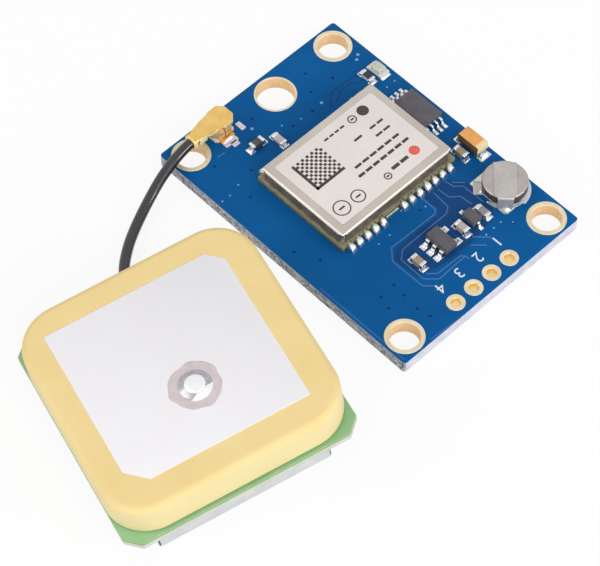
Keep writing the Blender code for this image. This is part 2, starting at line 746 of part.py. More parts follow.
def build_module():
    """Receiver module: castellated base, folded can with its label, and what it covers."""
    base_bottom = BOARD_THICKNESS + SEAT_GAP
    base_top = base_bottom + MODULE_BASE_THICKNESS
    place = (MODULE_X, MODULE_Y, base_bottom)
    base = add_plate("module_base", [module_outline()], MODULE_BASE_THICKNESS, "module_laminate", place)
    base = to_mesh_part(base)
    solder = add_part("module_solder", solder_fillets_mesh("module_solder"), "solder", place)
    join_with(base, as_tool(solder), "UNION")
    can_width = MODULE_WIDTH - 2 * CAN_SIDE_INSET
    can_length = MODULE_LENGTH - 2 * CAN_END_INSET
    can_bottom = base_top + SEAT_GAP
    can_size = (can_width, can_length, CAN_HEIGHT)
    can_mesh = open_box_mesh("module_can", can_size, (0.0, 0.0, 0.0), (0.0, 0.0, -1.0))
    can = add_part("module_can", can_mesh, "shield", (MODULE_X, MODULE_Y, can_bottom))
    soften(can, CAN_BEND_RADIUS, BEND_SEGMENTS)
    thicken(can, CAN_SHEET, -1.0)
    shade_round(can)
    label_size = (can_width - 2 * LABEL_INSET, can_length - 2 * LABEL_INSET)
    label_outline = rounded_rectangle(*label_size, LABEL_CORNER_RADIUS)
    label_bottom = can_bottom + CAN_HEIGHT + FIT_GAP
    add_plate("module_label", [label_outline], LABEL_FILM, "label", (MODULE_X, MODULE_Y, label_bottom))
    inner_end = can_length / 2 - CAN_SHEET
    filter_y = inner_end - RADIO_FILTER_END_GAP - RADIO_FILTER_WIDTH / 2
    chip_y = filter_y - RADIO_FILTER_WIDTH / 2 - RECEIVER_CHIP_GAP - RECEIVER_CHIP_SIDE / 2
    crystal_y = CRYSTAL_END_GAP + CRYSTAL_WIDTH / 2 - inner_end
    receiver_chip = (RECEIVER_CHIP_SIDE, RECEIVER_CHIP_SIDE, RECEIVER_CHIP_HEIGHT)
    crystal = (CRYSTAL_LENGTH, CRYSTAL_WIDTH, CRYSTAL_HEIGHT)
    radio_filter = (RADIO_FILTER_LENGTH, RADIO_FILTER_WIDTH, RADIO_FILTER_HEIGHT)
    covered = (
        ("module_chip", receiver_chip, chip_y, "black_resin"),
        ("module_crystal", crystal, crystal_y, "steel"),
        ("module_filter", radio_filter, filter_y, "pale_ceramic"),
    )
    for name, size, offset, finish in covered:
        mesh = block_mesh(name, [(size, (0.0, 0.0, size[2] / 2))])
        part = add_part(name, mesh, finish, (MODULE_X, MODULE_Y + offset, base_top + SEAT_GAP))
        soften(part, CHIP_EDGE)


# Chip parts with metal ends

def build_chip(name, x, y, turn, size, terminal, finish):
    """Chip part along its own X: a ceramic body and the metal end that wraps each end of it."""
    length, width, height = size
    place = (x, y, BOARD_THICKNESS + SEAT_GAP)
    body_size = (length - 2 * CHIP_SHEET, width - 2 * CHIP_SHEET, height - 2 * CHIP_SHEET)
    chip = add_part(name, block_mesh(name, [(body_size, (0.0, 0.0, height / 2))]), finish, place, turn)
    reach = length / 2 - terminal / 2
    ends = [((terminal, width, height), (side * reach, 0.0, height / 2)) for side in (-1, 1)]
    tool = add_part(f"{name}_ends", block_mesh(f"{name}_ends", ends), "solder", place, turn)
    join_with(chip, as_tool(tool), "UNION")
    soften(chip, CHIP_EDGE)


def module_far_edge():
    """Edge of the module that the memory chip and the module capacitor stand beside."""
    return MODULE_Y + MODULE_LENGTH / 2


def module_capacitor_y():
    """Middle line of the module capacitor."""
    return module_far_edge() + MODULE_CAPACITOR_GAP + CHIP_WIDTH / 2


def build_chips():
    """Capacitors, resistors, the inductor and the status light."""
    capacitor = (CHIP_LENGTH, CHIP_WIDTH, CAPACITOR_HEIGHT)
    resistor = (CHIP_LENGTH, CHIP_WIDTH, RESISTOR_HEIGHT)
    along_x = 0.0
    along_y = math.pi / 2
    solder_edge = MODULE_X - MODULE_WIDTH / 2 - SOLDER_REACH
    aerial_capacitor_x = solder_edge - AERIAL_CAPACITOR_SOLDER_GAP - CHIP_LENGTH / 2
    socket_edge = socket_x() + SOCKET_BASE_SIDE / 2 + SOCKET_FOOT_REACH
    aerial_inductor_x = (socket_edge + solder_edge) / 2 + AERIAL_INDUCTOR_OFF_CENTRE
    rows = (
        ("led_resistor", LED_RESISTOR_X, LED_RESISTOR_Y, along_x, resistor, "black_resin"),
        ("module_capacitor", MODULE_CAPACITOR_X, module_capacitor_y(), along_x, capacitor, "tan_ceramic"),
        ("input_capacitor", INPUT_CAPACITOR_X, INPUT_CAPACITOR_Y, along_x, capacitor, "tan_ceramic"),
        ("output_capacitor", OUTPUT_CAPACITOR_X, OUTPUT_CAPACITOR_Y, along_x, capacitor, "pale_ceramic"),
        ("charge_resistor", CHARGE_RESISTOR_X, CHARGE_RESISTOR_Y, along_x, resistor, "pale_ceramic"),
        ("aerial_inductor", aerial_inductor_x, AERIAL_INDUCTOR_Y, along_y, capacitor, "grey_ferrite"),
        ("aerial_capacitor", aerial_capacitor_x, AERIAL_CAPACITOR_Y, along_x, resistor, "pale_ceramic"),
    )
    for name, x, y, turn, size, finish in rows:
        build_chip(name, x, y, turn, size, CHIP_TERMINAL, finish)
    led_size = (LED_LENGTH, LED_WIDTH, LED_BASE_HEIGHT)
    build_chip("status_led_base", LED_X, LED_Y, along_x, led_size, LED_TERMINAL, "white_plastic")
    lens_bottom = BOARD_THICKNESS + SEAT_GAP + LED_BASE_HEIGHT + FIT_GAP
    lens_size = (LED_LENS_LENGTH, LED_LENS_WIDTH, LED_LENS_HEIGHT)
    lens_mesh = moulded_mesh("status_led_lens", lens_size, (0.0, 0.0, 0.0), LED_LENS_DRAFT)
    lens = add_part("status_led_lens", lens_mesh, "clear_resin", (LED_X, LED_Y, lens_bottom))
    soften(lens, CHIP_EDGE)


# Moulded packages with gull-wing leads

def gull_wing_path(offset, side, across, span, mid_height):
    """Middle line of one lead, from the body's parting line down to its foot."""
    start = across / 2 - LEAD_SHEET
    low = LEAD_SHEET / 2
    toe = span / 2
    free = toe - across / 2
    shoulder = across / 2 + (free - LEAD_SLOPE) / 2
    heel = shoulder + LEAD_SLOPE
    steps = ((start, mid_height), (shoulder, mid_height), (heel, low), (toe, low))
    return [Vector((offset, side * distance, height)) for distance, height in steps]


def build_package(name, x, y, turn, body, standoff, span, leads, lead_width):
    """Package whose leads leave along its own Y; leads holds (offset along X, side) pairs."""
    row, across, height = body
    place = Vector((x, y, BOARD_THICKNESS + SEAT_GAP))
    body_mesh = moulded_mesh(name, (row, across, height), (0.0, 0.0, standoff), PACKAGE_DRAFT)
    package = add_part(name, body_mesh, "black_resin", place, turn)
    soften(package, PACKAGE_EDGE)
    shape = bmesh.new()
    for offset, side in leads:
        path = gull_wing_path(offset, side, across, span, standoff + height / 2)
        add_strip(shape, path, Vector((1.0, 0.0, 0.0)), [lead_width] * len(path))
    metal = add_part(f"{name}_leads", mesh_from(f"{name}_leads", shape), "solder", place, turn)
    thicken(metal, LEAD_SHEET, 0.0)
    join_with(package, as_tool(metal), "UNION")


def build_packages():
    """Memory chip, voltage regulator and charge diode."""
    first = -(MEMORY_LEADS_PER_SIDE - 1) / 2 * MEMORY_PITCH
    memory_row = [first + index * MEMORY_PITCH for index in range(MEMORY_LEADS_PER_SIDE)]
    memory_leads = [(offset, side) for side in (-1, 1) for offset in memory_row]
    memory_y = module_far_edge() + MEMORY_MODULE_GAP + MEMORY_ROW / 2
    build_package(
        "memory_chip", MEMORY_X, memory_y, math.pi / 2,
        (MEMORY_ROW, MEMORY_ACROSS, MEMORY_HEIGHT),
        MEMORY_STANDOFF, MEMORY_SPAN, memory_leads, MEMORY_LEAD_WIDTH,
    )
    regulator_leads = [(offset * REGULATOR_PITCH, -1) for offset in (-1, 0, 1)]
    regulator_leads += [(offset * REGULATOR_PITCH, 1) for offset in (-1, 1)]
    build_package(
        "regulator", REGULATOR_X, REGULATOR_Y, 0.0,
        (REGULATOR_ROW, REGULATOR_ACROSS, REGULATOR_HEIGHT),
        REGULATOR_STANDOFF, REGULATOR_SPAN, regulator_leads, REGULATOR_LEAD_WIDTH,
    )
    build_package(
        "charge_diode", DIODE_X, DIODE_Y, math.pi / 2,
        (DIODE_ROW, DIODE_ACROSS, DIODE_HEIGHT),
        DIODE_STANDOFF, DIODE_SPAN, [(0.0, -1), (0.0, 1)], DIODE_LEAD_WIDTH,
    )


def build_tantalum():
    """Tantalum capacitor: moulded block with a terminal strip folded under each end."""
    capacitor_edge = module_capacitor_y() + CHIP_WIDTH / 2
    middle_y = capacitor_edge + TANTALUM_CAPACITOR_GAP + TANTALUM_WIDTH / 2
    place = Vector((TANTALUM_X, middle_y, BOARD_THICKNESS + SEAT_GAP))
    size = (TANTALUM_LENGTH, TANTALUM_WIDTH, TANTALUM_HEIGHT)
    body_mesh = moulded_mesh("tantalum_capacitor", size, (0.0, 0.0, TANTALUM_STANDOFF), TANTALUM_DRAFT)
    body = add_part("tantalum_capacitor", body_mesh, "orange_resin", place)
    soften(body, TANTALUM_EDGE)
    outer = TANTALUM_LENGTH / 2 + FIT_GAP + TANTALUM_SHEET / 2
    low = TANTALUM_SHEET / 2
    high = TANTALUM_STANDOFF + TANTALUM_HEIGHT / 2
    for number, side in enumerate((-1, 1)):
        path = [
            Vector((side * outer, 0.0, high)),
            Vector((side * outer, 0.0, low)),
            Vector((side * (outer - TANTALUM_TERMINAL_FOOT), 0.0, low)),
        ]
        shape = bmesh.new()
        add_strip(shape, path, Vector((0.0, 1.0, 0.0)), [TANTALUM_TERMINAL_WIDTH] * len(path))
        name = f"tantalum_terminal_{number + 1}"
        terminal = add_part(name, mesh_from(name, shape), "solder", place)
        thicken(terminal, TANTALUM_SHEET, 0.0)


# Backup cell

def build_cell():
    """Coin cell, can side up, between a top tab and a bottom tab."""
    floor = BOARD_THICKNESS + SEAT_GAP + CELL_TAB_SHEET + SEAT_GAP
    centre = (CELL_X, CELL_Y, floor)
    top = CELL_HEIGHT
    edge = CELL_EDGE_RADIUS
    inner = CELL_RADIUS - CELL_SHEET
    crimp_inner = CELL_RADIUS - CELL_CRIMP_STEP
    can_profile = [
        (0.0, top),
        (CELL_RADIUS - edge, top),
        (CELL_RADIUS - edge * (1 - math.sqrt(0.5)), top - edge * (1 - math.sqrt(0.5))),
        (CELL_RADIUS, top - edge),
        (CELL_RADIUS, CELL_CRIMP_RISE + CELL_SHEET),
        (crimp_inner, CELL_CRIMP_RISE),
        (crimp_inner, CELL_CRIMP_RISE + CELL_SHEET),
        (inner, CELL_CRIMP_RISE + 2 * CELL_SHEET),
        (inner, top - CELL_SHEET),
        (0.0, top - CELL_SHEET),
    ]
    can = add_turned("cell_can", can_profile, False, "steel", centre)
    shade_round(can)
    gasket_outer = crimp_inner - FIT_GAP
    gasket_inner = gasket_outer - CELL_GASKET_WALL
    cap_radius = gasket_inner - FIT_GAP
    gasket_low = CELL_CRIMP_RISE - CELL_SHEET / 2
    gasket_high = CELL_CAP_DEPTH + CELL_SHEET
    gasket_profile = [
        (gasket_inner, gasket_high),
        (gasket_outer, gasket_high),
        (gasket_outer, gasket_low),
        (gasket_inner, gasket_low),
    ]
    add_turned("cell_gasket", gasket_profile, True, "grey_seal", centre)
    cap_profile = [
        (0.0, CELL_SHEET),
        (cap_radius - CELL_SHEET, CELL_SHEET),
        (cap_radius - CELL_SHEET, CELL_CAP_DEPTH),
        (cap_radius, CELL_CAP_DEPTH),
        (cap_radius, edge),
        (cap_radius - edge, 0.0),
        (0.0, 0.0),
    ]
    cap = add_turned("cell_cap", cap_profile, False, "steel", centre)
    shade_round(cap)
    build_cell_tabs(floor)


def build_cell_tabs(cell_floor):
    """Top tab laid over the cell and bent down beside it, bottom tab under it."""
    half = CELL_TAB_SHEET / 2
    low = BOARD_THICKNESS + SEAT_GAP + half
    high = cell_floor + CELL_HEIGHT + SEAT_GAP + half
    leg = CELL_RADIUS + SEAT_GAP + half
    top_path = [
        Vector((-CELL_STRIP_BACK, 0.0, high)),
        Vector((leg - CELL_TAB_SHEET, 0.0, high)),
        Vector((leg, 0.0, high - CELL_TAB_SHEET)),
        Vector((leg + CELL_TAB_SHEET, 0.0, low)),
        Vector((leg + CELL_TAB_SHEET + CELL_FOOT_LENGTH, 0.0, low)),
    ]
    top_widths = [CELL_STRIP_WIDTH, CELL_LEG_WIDTH, CELL_LEG_WIDTH, CELL_LEG_WIDTH, CELL_LEG_WIDTH / 2]
    bottom_path = [
        Vector((-CELL_STRIP_BACK / 2, 0.0, low)),
        Vector((CELL_RADIUS, 0.0, low)),
        Vector((CELL_RADIUS + CELL_BOTTOM_FOOT_LENGTH, 0.0, low)),
    ]
    bottom_widths = [CELL_STRIP_WIDTH, CELL_LEG_WIDTH, CELL_LEG_WIDTH]
    tabs = (
        ("cell_top_tab", top_path, top_widths, CELL_TOP_TAB_TURN),
        ("cell_bottom_tab", bottom_path, bottom_widths, CELL_BOTTOM_TAB_TURN),
    )
    for name, path, widths, turn in tabs:
        shape = bmesh.new()
        add_strip(shape, path, Vector((0.0, 1.0, 0.0)), widths)
        tab = add_part(name, mesh_from(name, shape), "steel", (CELL_X, CELL_Y, 0.0), turn)
        thicken(tab, CELL_TAB_SHEET, 0.0)


# Coaxial socket and plug

def socket_x():
    """Socket's place along the board, set in from its short edge."""
    return SOCKET_INSET - BOARD_LENGTH / 2


def socket_top():
    """Height of the top of the socket's shell."""
    return BOARD_THICKNESS + SEAT_GAP + SOCKET_BASE_HEIGHT + FIT_GAP + SOCKET_SHELL_HEIGHT


def plug_plate_bottom():
    """Height of the underside of the plug's flat top."""
    return socket_top() + PLUG_HEADROOM


def crimp_radii():
    """Inner and outer radius of the barrel that holds the lead."""
    inner = LEAD_RADIUS + FIT_GAP
    return inner, inner + PLUG_CRIMP_WALL


def lead_height():
    """Height of the lead's axis in the plug, with the barrel level with the plug's top."""
    return plug_plate_bottom() + PLUG_SHEET - crimp_radii()[1]


def build_socket():
    """Board socket: plastic base, grooved shell with a soldered arm each side, centre pin."""
    base_bottom = BOARD_THICKNESS + SEAT_GAP
    place = (socket_x(), SOCKET_Y, base_bottom)
    outline = cut_corner_square(SOCKET_BASE_SIDE, [SOCKET_BASE_CHAMFER] * 4)
    add_plate("coax_socket_base", [outline], SOCKET_BASE_HEIGHT, "white_plastic", place)
    shell_bottom = base_bottom + SOCKET_BASE_HEIGHT + FIT_GAP
    outer = SOCKET_SHELL_RADIUS
    inner = outer - SOCKET_SHELL_WALL
    waist = outer - SOCKET_GROOVE_DEPTH
    shell_profile = [
        (inner, SOCKET_SHELL_HEIGHT),
        (outer, SOCKET_SHELL_HEIGHT),
        (outer, SOCKET_SHELL_HEIGHT - SOCKET_GROOVE_HEIGHT),
        (waist, SOCKET_SHELL_HEIGHT - SOCKET_GROOVE_HEIGHT - SOCKET_GROOVE_DEPTH),
        (waist, SOCKET_GROOVE_DEPTH),
        (outer, 0.0),
        (inner, 0.0),
    ]
    shell_place = (socket_x(), SOCKET_Y, shell_bottom)
    shell = add_turned("coax_socket_shell", shell_profile, True, "gold", shell_place)
    side_wall = SOCKET_BASE_SIDE / 2 + FIT_GAP + SOCKET_ARM_SHEET / 2
    arm_height = SOCKET_ARM_SHEET / 2
    foot_height = base_bottom + SOCKET_ARM_SHEET / 2 - shell_bottom
    for side in (-1, 1):
        path = [
            Vector((side * (inner + SOCKET_ARM_SHEET), 0.0, arm_height)),
            Vector((side * side_wall, 0.0, arm_height)),
            Vector((side * side_wall, 0.0, foot_height)),
            Vector((side * (side_wall + SOCKET_FOOT_REACH), 0.0, foot_height)),
        ]
        shape = bmesh.new()
        add_strip(shape, path, Vector((0.0, 1.0, 0.0)), [SOCKET_ARM_WIDTH] * len(path))
        arm_name = f"socket_arm_{side}"
        arm = add_part(arm_name, mesh_from(arm_name, shape), "gold", shell_place)
        thicken(arm, SOCKET_ARM_SHEET, 0.0)
        join_with(shell, as_tool(arm), "UNION")
    shade_round(shell)
    tip = SOCKET_PIN_RADIUS / 2
    pin_profile = [
        (0.0, SOCKET_PIN_HEIGHT),
        (tip, SOCKET_PIN_HEIGHT),
        (SOCKET_PIN_RADIUS, SOCKET_PIN_HEIGHT - tip),
        (SOCKET_PIN_RADIUS, 0.0),
        (0.0, 0.0),
    ]
    pin = add_turned("coax_socket_pin", pin_profile, False, "gold", shell_place, SMALL_HOLE_STEPS)
    shade_round(pin)


def plug_outline():
    """Top of the plug seen from above: chamfered head, neck, and bridge to the crimp."""
    right = [
        (PLUG_BRIDGE_HALF_WIDTH, -PLUG_CRIMP_START - PLUG_SHEET),
        (PLUG_BRIDGE_HALF_WIDTH, -PLUG_CRIMP_START),
        (PLUG_NECK_HALF_WIDTH, -PLUG_NECK_BACK),
        (PLUG_NECK_HALF_WIDTH, -PLUG_HEAD_BACK),
        (PLUG_HEAD_HALF_WIDTH, -PLUG_HEAD_BACK + PLUG_SHEET),
        (PLUG_HEAD_HALF_WIDTH, PLUG_HEAD_FRONT - PLUG_HEAD_CHAMFER),
        (PLUG_HEAD_HALF_WIDTH - PLUG_HEAD_CHAMFER, PLUG_HEAD_FRONT),
    ]
    left = [(-x, y) for x, y in reversed(right)]
    return right + left


def crimp_profile(inner, outer, start, length):
    """Section of the crimp barrel along its axis."""
    return [(inner, start + length), (outer, start + length), (outer, start), (inner, start)]


def build_plug():
    """Plug: one sheet with a top, a round skirt, side walls and a barrel crimped on the lead."""
    plate_bottom = plug_plate_bottom()
    place = Vector((socket_x(), SOCKET_Y, plate_bottom))
    plug = add_plate("coax_plug_shell", [plug_outline()], PLUG_SHEET, "gold", place)
    plug = to_mesh_part(plug)
    overlap = PLUG_SHEET / 2
    skirt_bottom = socket_top() - SOCKET_SHELL_HEIGHT + PLUG_SKIRT_BASE_GAP
    skirt_inner = SOCKET_SHELL_RADIUS + PLUG_SKIRT_CLEARANCE
    skirt_outer = skirt_inner + PLUG_SHEET
    skirt_profile = [
        (skirt_inner, plate_bottom + overlap),
        (skirt_outer - PLUG_SKIRT_LIP, plate_bottom + overlap),
        (skirt_outer, plate_bottom + overlap - PLUG_SHEET),
        (skirt_outer, skirt_bottom),
        (skirt_inner, skirt_bottom),
    ]
    skirt = add_turned("plug_skirt", skirt_profile, True, "gold", (socket_x(), SOCKET_Y, 0.0))
    join_with(plug, as_tool(skirt), "UNION")
    wall_length = PLUG_NECK_BACK - PLUG_HEAD_BACK
    wall_centre_y = SOCKET_Y - (PLUG_NECK_BACK + PLUG_HEAD_BACK) / 2
    wall_top = plate_bottom + overlap
    wall_bottom = socket_top() + PLUG_WALL_SOCKET_GAP
    for side in (-1, 1):
        wall_x = socket_x() + side * (PLUG_NECK_HALF_WIDTH - PLUG_SHEET / 2 - PLUG_EDGE)
        wall_size = (PLUG_SHEET, wall_length, wall_top - wall_bottom)
        wall_place = (wall_x, wall_centre_y, (wall_top + wall_bottom) / 2)
        wall = block_tool(f"plug_wall_{side}", wall_size, wall_place)
        join_with(plug, wall, "UNION")
    crimp_inner, crimp_outer = crimp_radii()
    profile = crimp_profile(crimp_inner, crimp_outer, PLUG_CRIMP_START, PLUG_CRIMP_LENGTH)
    barrel = add_turned("plug_barrel", profile, True, "gold", (socket_x(), SOCKET_Y, lead_height()))
    barrel.rotation_euler = (math.pi / 2, 0.0, 0.0)
    join_with(plug, as_tool(barrel), "UNION")
    seam_size = (PLUG_CRIMP_SLIT, PLUG_CRIMP_LENGTH + CUT_MARGIN, crimp_outer)
    seam_y = SOCKET_Y - PLUG_CRIMP_START - PLUG_CRIMP_LENGTH / 2
    seam_z = lead_height() - (crimp_outer + crimp_inner) / 2
    seam = block_tool("plug_seam", seam_size, (socket_x(), seam_y, seam_z))
    join_with(plug, seam, "DIFFERENCE")
    mouth_size = (2 * PLUG_BRIDGE_HALF_WIDTH, skirt_outer, plate_bottom - skirt_bottom + PLUG_SHEET)
    mouth_z = skirt_bottom - PLUG_SHEET + mouth_size[2] / 2
    mouth = block_tool("plug_mouth", mouth_size, (socket_x(), SOCKET_Y - skirt_outer, mouth_z))
    join_with(plug, mouth, "DIFFERENCE")
    slit_size = (PLUG_SLIT_REACH, PLUG_SLIT_WIDTH, plate_bottom - skirt_bottom)
    slit_z = (plate_bottom + skirt_bottom) / 2
    for side in (-1, 1):
        slit_place = (socket_x() + side * skirt_outer, SOCKET_Y - PLUG_SLIT_Y, slit_z)
        slit = block_tool(f"plug_slit_{side}", slit_size, slit_place)
        join_with(plug, slit, "DIFFERENCE")
    shade_round(plug)
    build_plug_inside(plate_bottom)


def build_plug_inside(plate_bottom):
    """Insulator disc inside the skirt and the contact tube round the socket's pin."""
    contact_inner = SOCKET_PIN_RADIUS + FIT_GAP
    contact_outer = contact_inner + PLUG_CONTACT_WALL
    disc_top = plate_bottom - FIT_GAP
    disc_bottom = socket_top() + PLUG_INSULATOR_SOCKET_GAP
    disc_radius = PLUG_NECK_HALF_WIDTH - PLUG_EDGE - PLUG_SHEET - FIT_GAP
    disc_profile = [
        (contact_outer + FIT_GAP, disc_top),
        (disc_radius, disc_top),
        (disc_radius, disc_bottom),
        (contact_outer + FIT_GAP, disc_bottom),
    ]
    centre = (socket_x(), SOCKET_Y, 0.0)
    add_turned("coax_plug_insulator", disc_profile, True, "white_plastic", centre)
    contact_top = disc_top - FIT_GAP
    contact_profile = [
        (contact_inner, contact_top),
        (contact_outer, contact_top),
        (contact_outer, contact_top - PLUG_CONTACT_LENGTH),
        (contact_inner, contact_top - PLUG_CONTACT_LENGTH),
    ]
    add_turned("coax_plug_contact", contact_profile, True, "gold", centre, SMALL_HOLE_STEPS)


# Antenna

def antenna_stack():
    """Heights of the antenna's layers above the underside of its can."""
    board_bottom = ANTENNA_CAN_DEPTH + SEAT_GAP
    board_top = board_bottom + ANTENNA_BOARD_THICKNESS
    tape_bottom = board_top + FIT_GAP
    ceramic_bottom = tape_bottom + TAPE_THICKNESS + FIT_GAP
    ceramic_top = ceramic_bottom + CERAMIC_HEIGHT
    return board_bottom, board_top, tape_bottom, ceramic_bottom, ceramic_top


def add_antenna_place():
    """Empty at the centre of the can's underside, leant so that the near edge rests."""
    place = bpy.data.objects.new("antenna_place", None)
    PARTS.objects.link(place)
    lean_sine = math.sin(ANTENNA_LEAN)
    lean_cosine = math.cos(ANTENNA_LEAN)
    edge_lift = ANTENNA_CAN_BEND * (lean_sine + lean_cosine - 1)
    place.location = (ANTENNA_X, ANTENNA_Y, ANTENNA_CAN_NEAR * lean_sine - edge_lift)
    place.rotation_euler = (ANTENNA_LEAN, 0.0, ANTENNA_TURN)
    return place


def build_antenna_can(place):
    """Tin-plate can: one folded sheet, open above, with a narrow slot at each corner."""
    size = (ANTENNA_CAN_LEFT + ANTENNA_CAN_RIGHT, ANTENNA_CAN_NEAR + ANTENNA_CAN_FAR, ANTENNA_CAN_DEPTH)
    centre_u = (ANTENNA_CAN_RIGHT - ANTENNA_CAN_LEFT) / 2
    centre_v = (ANTENNA_CAN_FAR - ANTENNA_CAN_NEAR) / 2
    mesh = open_box_mesh("antenna_can", size, (0.0, 0.0, 0.0), (0.0, 0.0, 1.0))
    can = add_part("antenna_can", mesh, "tin_plate", (centre_u, centre_v, 0.0), parent=place)
    soften(can, ANTENNA_CAN_BEND, BEND_SEGMENTS)
    thicken(can, ANTENNA_CAN_SHEET, -1.0)
    slot_height = ANTENNA_CAN_DEPTH - ANTENNA_CAN_SLOT_RISE + CUT_MARGIN
    slot_size = (ANTENNA_CAN_SLOT_REACH, ANTENNA_CAN_SLOT, slot_height)
    slot_middle = ANTENNA_CAN_SLOT_RISE + slot_height / 2
    for side_u in (-1, 1):
        for side_v in (-1, 1):
            name = f"can_slot_{side_u}_{side_v}"
            corner = (centre_u + side_u * size[0] / 2, centre_v + side_v * size[1] / 2, slot_middle)
            slot = block_tool(name, slot_size, corner, math.atan2(side_v, side_u), place)
            join_with(can, slot, "DIFFERENCE")


def build_ceramic(place, ceramic_bottom):
    """Ceramic block with round corners, a soft top edge and a bore for the feed pin."""
    outline = rounded_rectangle(CERAMIC_SIDE, CERAMIC_SIDE, CERAMIC_CORNER_RADIUS)
    block = add_plate(
        "antenna_ceramic", [outline], CERAMIC_HEIGHT, "yellow_ceramic", (0.0, 0.0, ceramic_bottom), place
    )
    block = to_mesh_part(block)
    shape = bmesh.new()
    shape.from_mesh(block.data)
    top = max(vertex.co.z for vertex in shape.verts) - MERGE_DISTANCE
    level = [edge for edge in shape.edges if min(vertex.co.z for vertex in edge.verts) > top]
    rim = [edge for edge in level if edge.calc_face_angle(0.0) > BEVEL_ANGLE]
    bmesh.ops.bevel(
        shape,
        geom=rim,
        offset=CERAMIC_TOP_FILLET,
        segments=BEND_SEGMENTS,
        profile=ROUND_PROFILE,
        affect="EDGES",
    )
    shape.to_mesh(block.data)
    shape.free()
    bore = CERAMIC_HEIGHT + 2 * CUT_MARGIN
    profile = [
        (0.0, bore - CUT_MARGIN),
        (FEED_PIN_RADIUS + SEAT_GAP, bore - CUT_MARGIN),
        (FEED_PIN_RADIUS + SEAT_GAP, -CUT_MARGIN),
        (0.0, -CUT_MARGIN),
    ]
    tool = add_turned(
        "ceramic_bore", profile, False, "gold", (FEED_U, FEED_V, ceramic_bottom), SMALL_HOLE_STEPS, place
    )
    join_with(block, as_tool(tool), "DIFFERENCE")
    shade_round(block)


def build_antenna():
    """Antenna: can, board, tape, ceramic, electrode and feed pin, from the floor up."""
    place = add_antenna_place()
    board_bottom, board_top, tape_bottom, ceramic_bottom, ceramic_top = antenna_stack()
    build_antenna_can(place)
    pin_hole = circle(FEED_PIN_RADIUS + SEAT_GAP, SMALL_HOLE_STEPS, (FEED_U, FEED_V))
    half_length = ANTENNA_BOARD_LENGTH / 2
    half_width = ANTENNA_BOARD_WIDTH / 2
    chamfer = ANTENNA_BOARD_CHAMFER
    quarter = [
        (half_length, half_width - chamfer),
        (half_length - chamfer, half_width),
    ]
    upper = quarter + [(-x, y) for x, y in reversed(quarter)]
    board_outline = upper + [(x, -y) for x, y in reversed(upper)]
    add_plate(
        "antenna_board", [board_outline, pin_hole], ANTENNA_BOARD_THICKNESS,
        "green_laminate", (0.0, 0.0, board_bottom), place,
    )
    tape_side = CERAMIC_SIDE - 2 * TAPE_INSET
    tape_outline = rounded_rectangle(tape_side, tape_side, CERAMIC_CORNER_RADIUS - TAPE_INSET)
    add_plate(
        "antenna_tape", [tape_outline, pin_hole], TAPE_THICKNESS, "tape", (0.0, 0.0, tape_bottom), place
    )
    build_ceramic(place, ceramic_bottom)
    electrode_outline = cut_corner_square(
        ELECTRODE_SIDE,
        (0.0, ELECTRODE_FAR_CUT, 0.0, ELECTRODE_NEAR_CUT),
        (ELECTRODE_OFFSET_U, ELECTRODE_OFFSET_V),
    )
    electrode_bottom = ceramic_top + FIT_GAP
    add_plate(
        "antenna_electrode", [electrode_outline, pin_hole], ELECTRODE_FILM,
        "silver_film", (0.0, 0.0, electrode_bottom), place,
    )
    build_feed(place, board_bottom, electrode_bottom + ELECTRODE_FILM)
    build_antenna_underside(place, board_bottom)


def build_feed(place, board_bottom, electrode_top):
    """Headed feed pin through the whole stack, and the solder ring round its head."""
    head_bottom = electrode_top + FIT_GAP
    head_rim = head_bottom + FEED_HEAD_RIM
    turns = [step / DOME_STEPS * math.pi / 2 for step in range(DOME_STEPS + 1)]
    dome_radii = [FEED_HEAD_RADIUS * math.sin(turn) for turn in turns]
    dome_heights = [head_rim + FEED_HEAD_DOME * math.cos(turn) for turn in turns]
    pin_profile = list(zip(dome_radii, dome_heights)) + [
        (FEED_HEAD_RADIUS, head_bottom),
        (FEED_PIN_RADIUS, head_bottom),
        (FEED_PIN_RADIUS, board_bottom - FEED_PIN_TAIL),
        (0.0, board_bottom - FEED_PIN_TAIL),
    ]
    centre = (FEED_U, FEED_V, 0.0)
    pin = add_turned("feed_pin", pin_profile, False, "solder", centre, SMALL_HOLE_STEPS, place)
    shade_round(pin)
    inner = FEED_HEAD_RADIUS + FIT_GAP
    middle = (inner + FEED_SOLDER_RADIUS) / 2
    solder_profile = [
        (inner, head_bottom + FEED_SOLDER_HEIGHT),
        (middle, head_bottom + FEED_SOLDER_WAIST),
        (FEED_SOLDER_RADIUS, head_bottom + FEED_SOLDER_TOE),
        (FEED_SOLDER_RADIUS, head_bottom),
        (inner, head_bottom),
    ]
    solder = add_turned(
        "feed_solder", solder_profile, True, "solder", centre, SMALL_HOLE_STEPS, place
    )
    shade_round(solder)


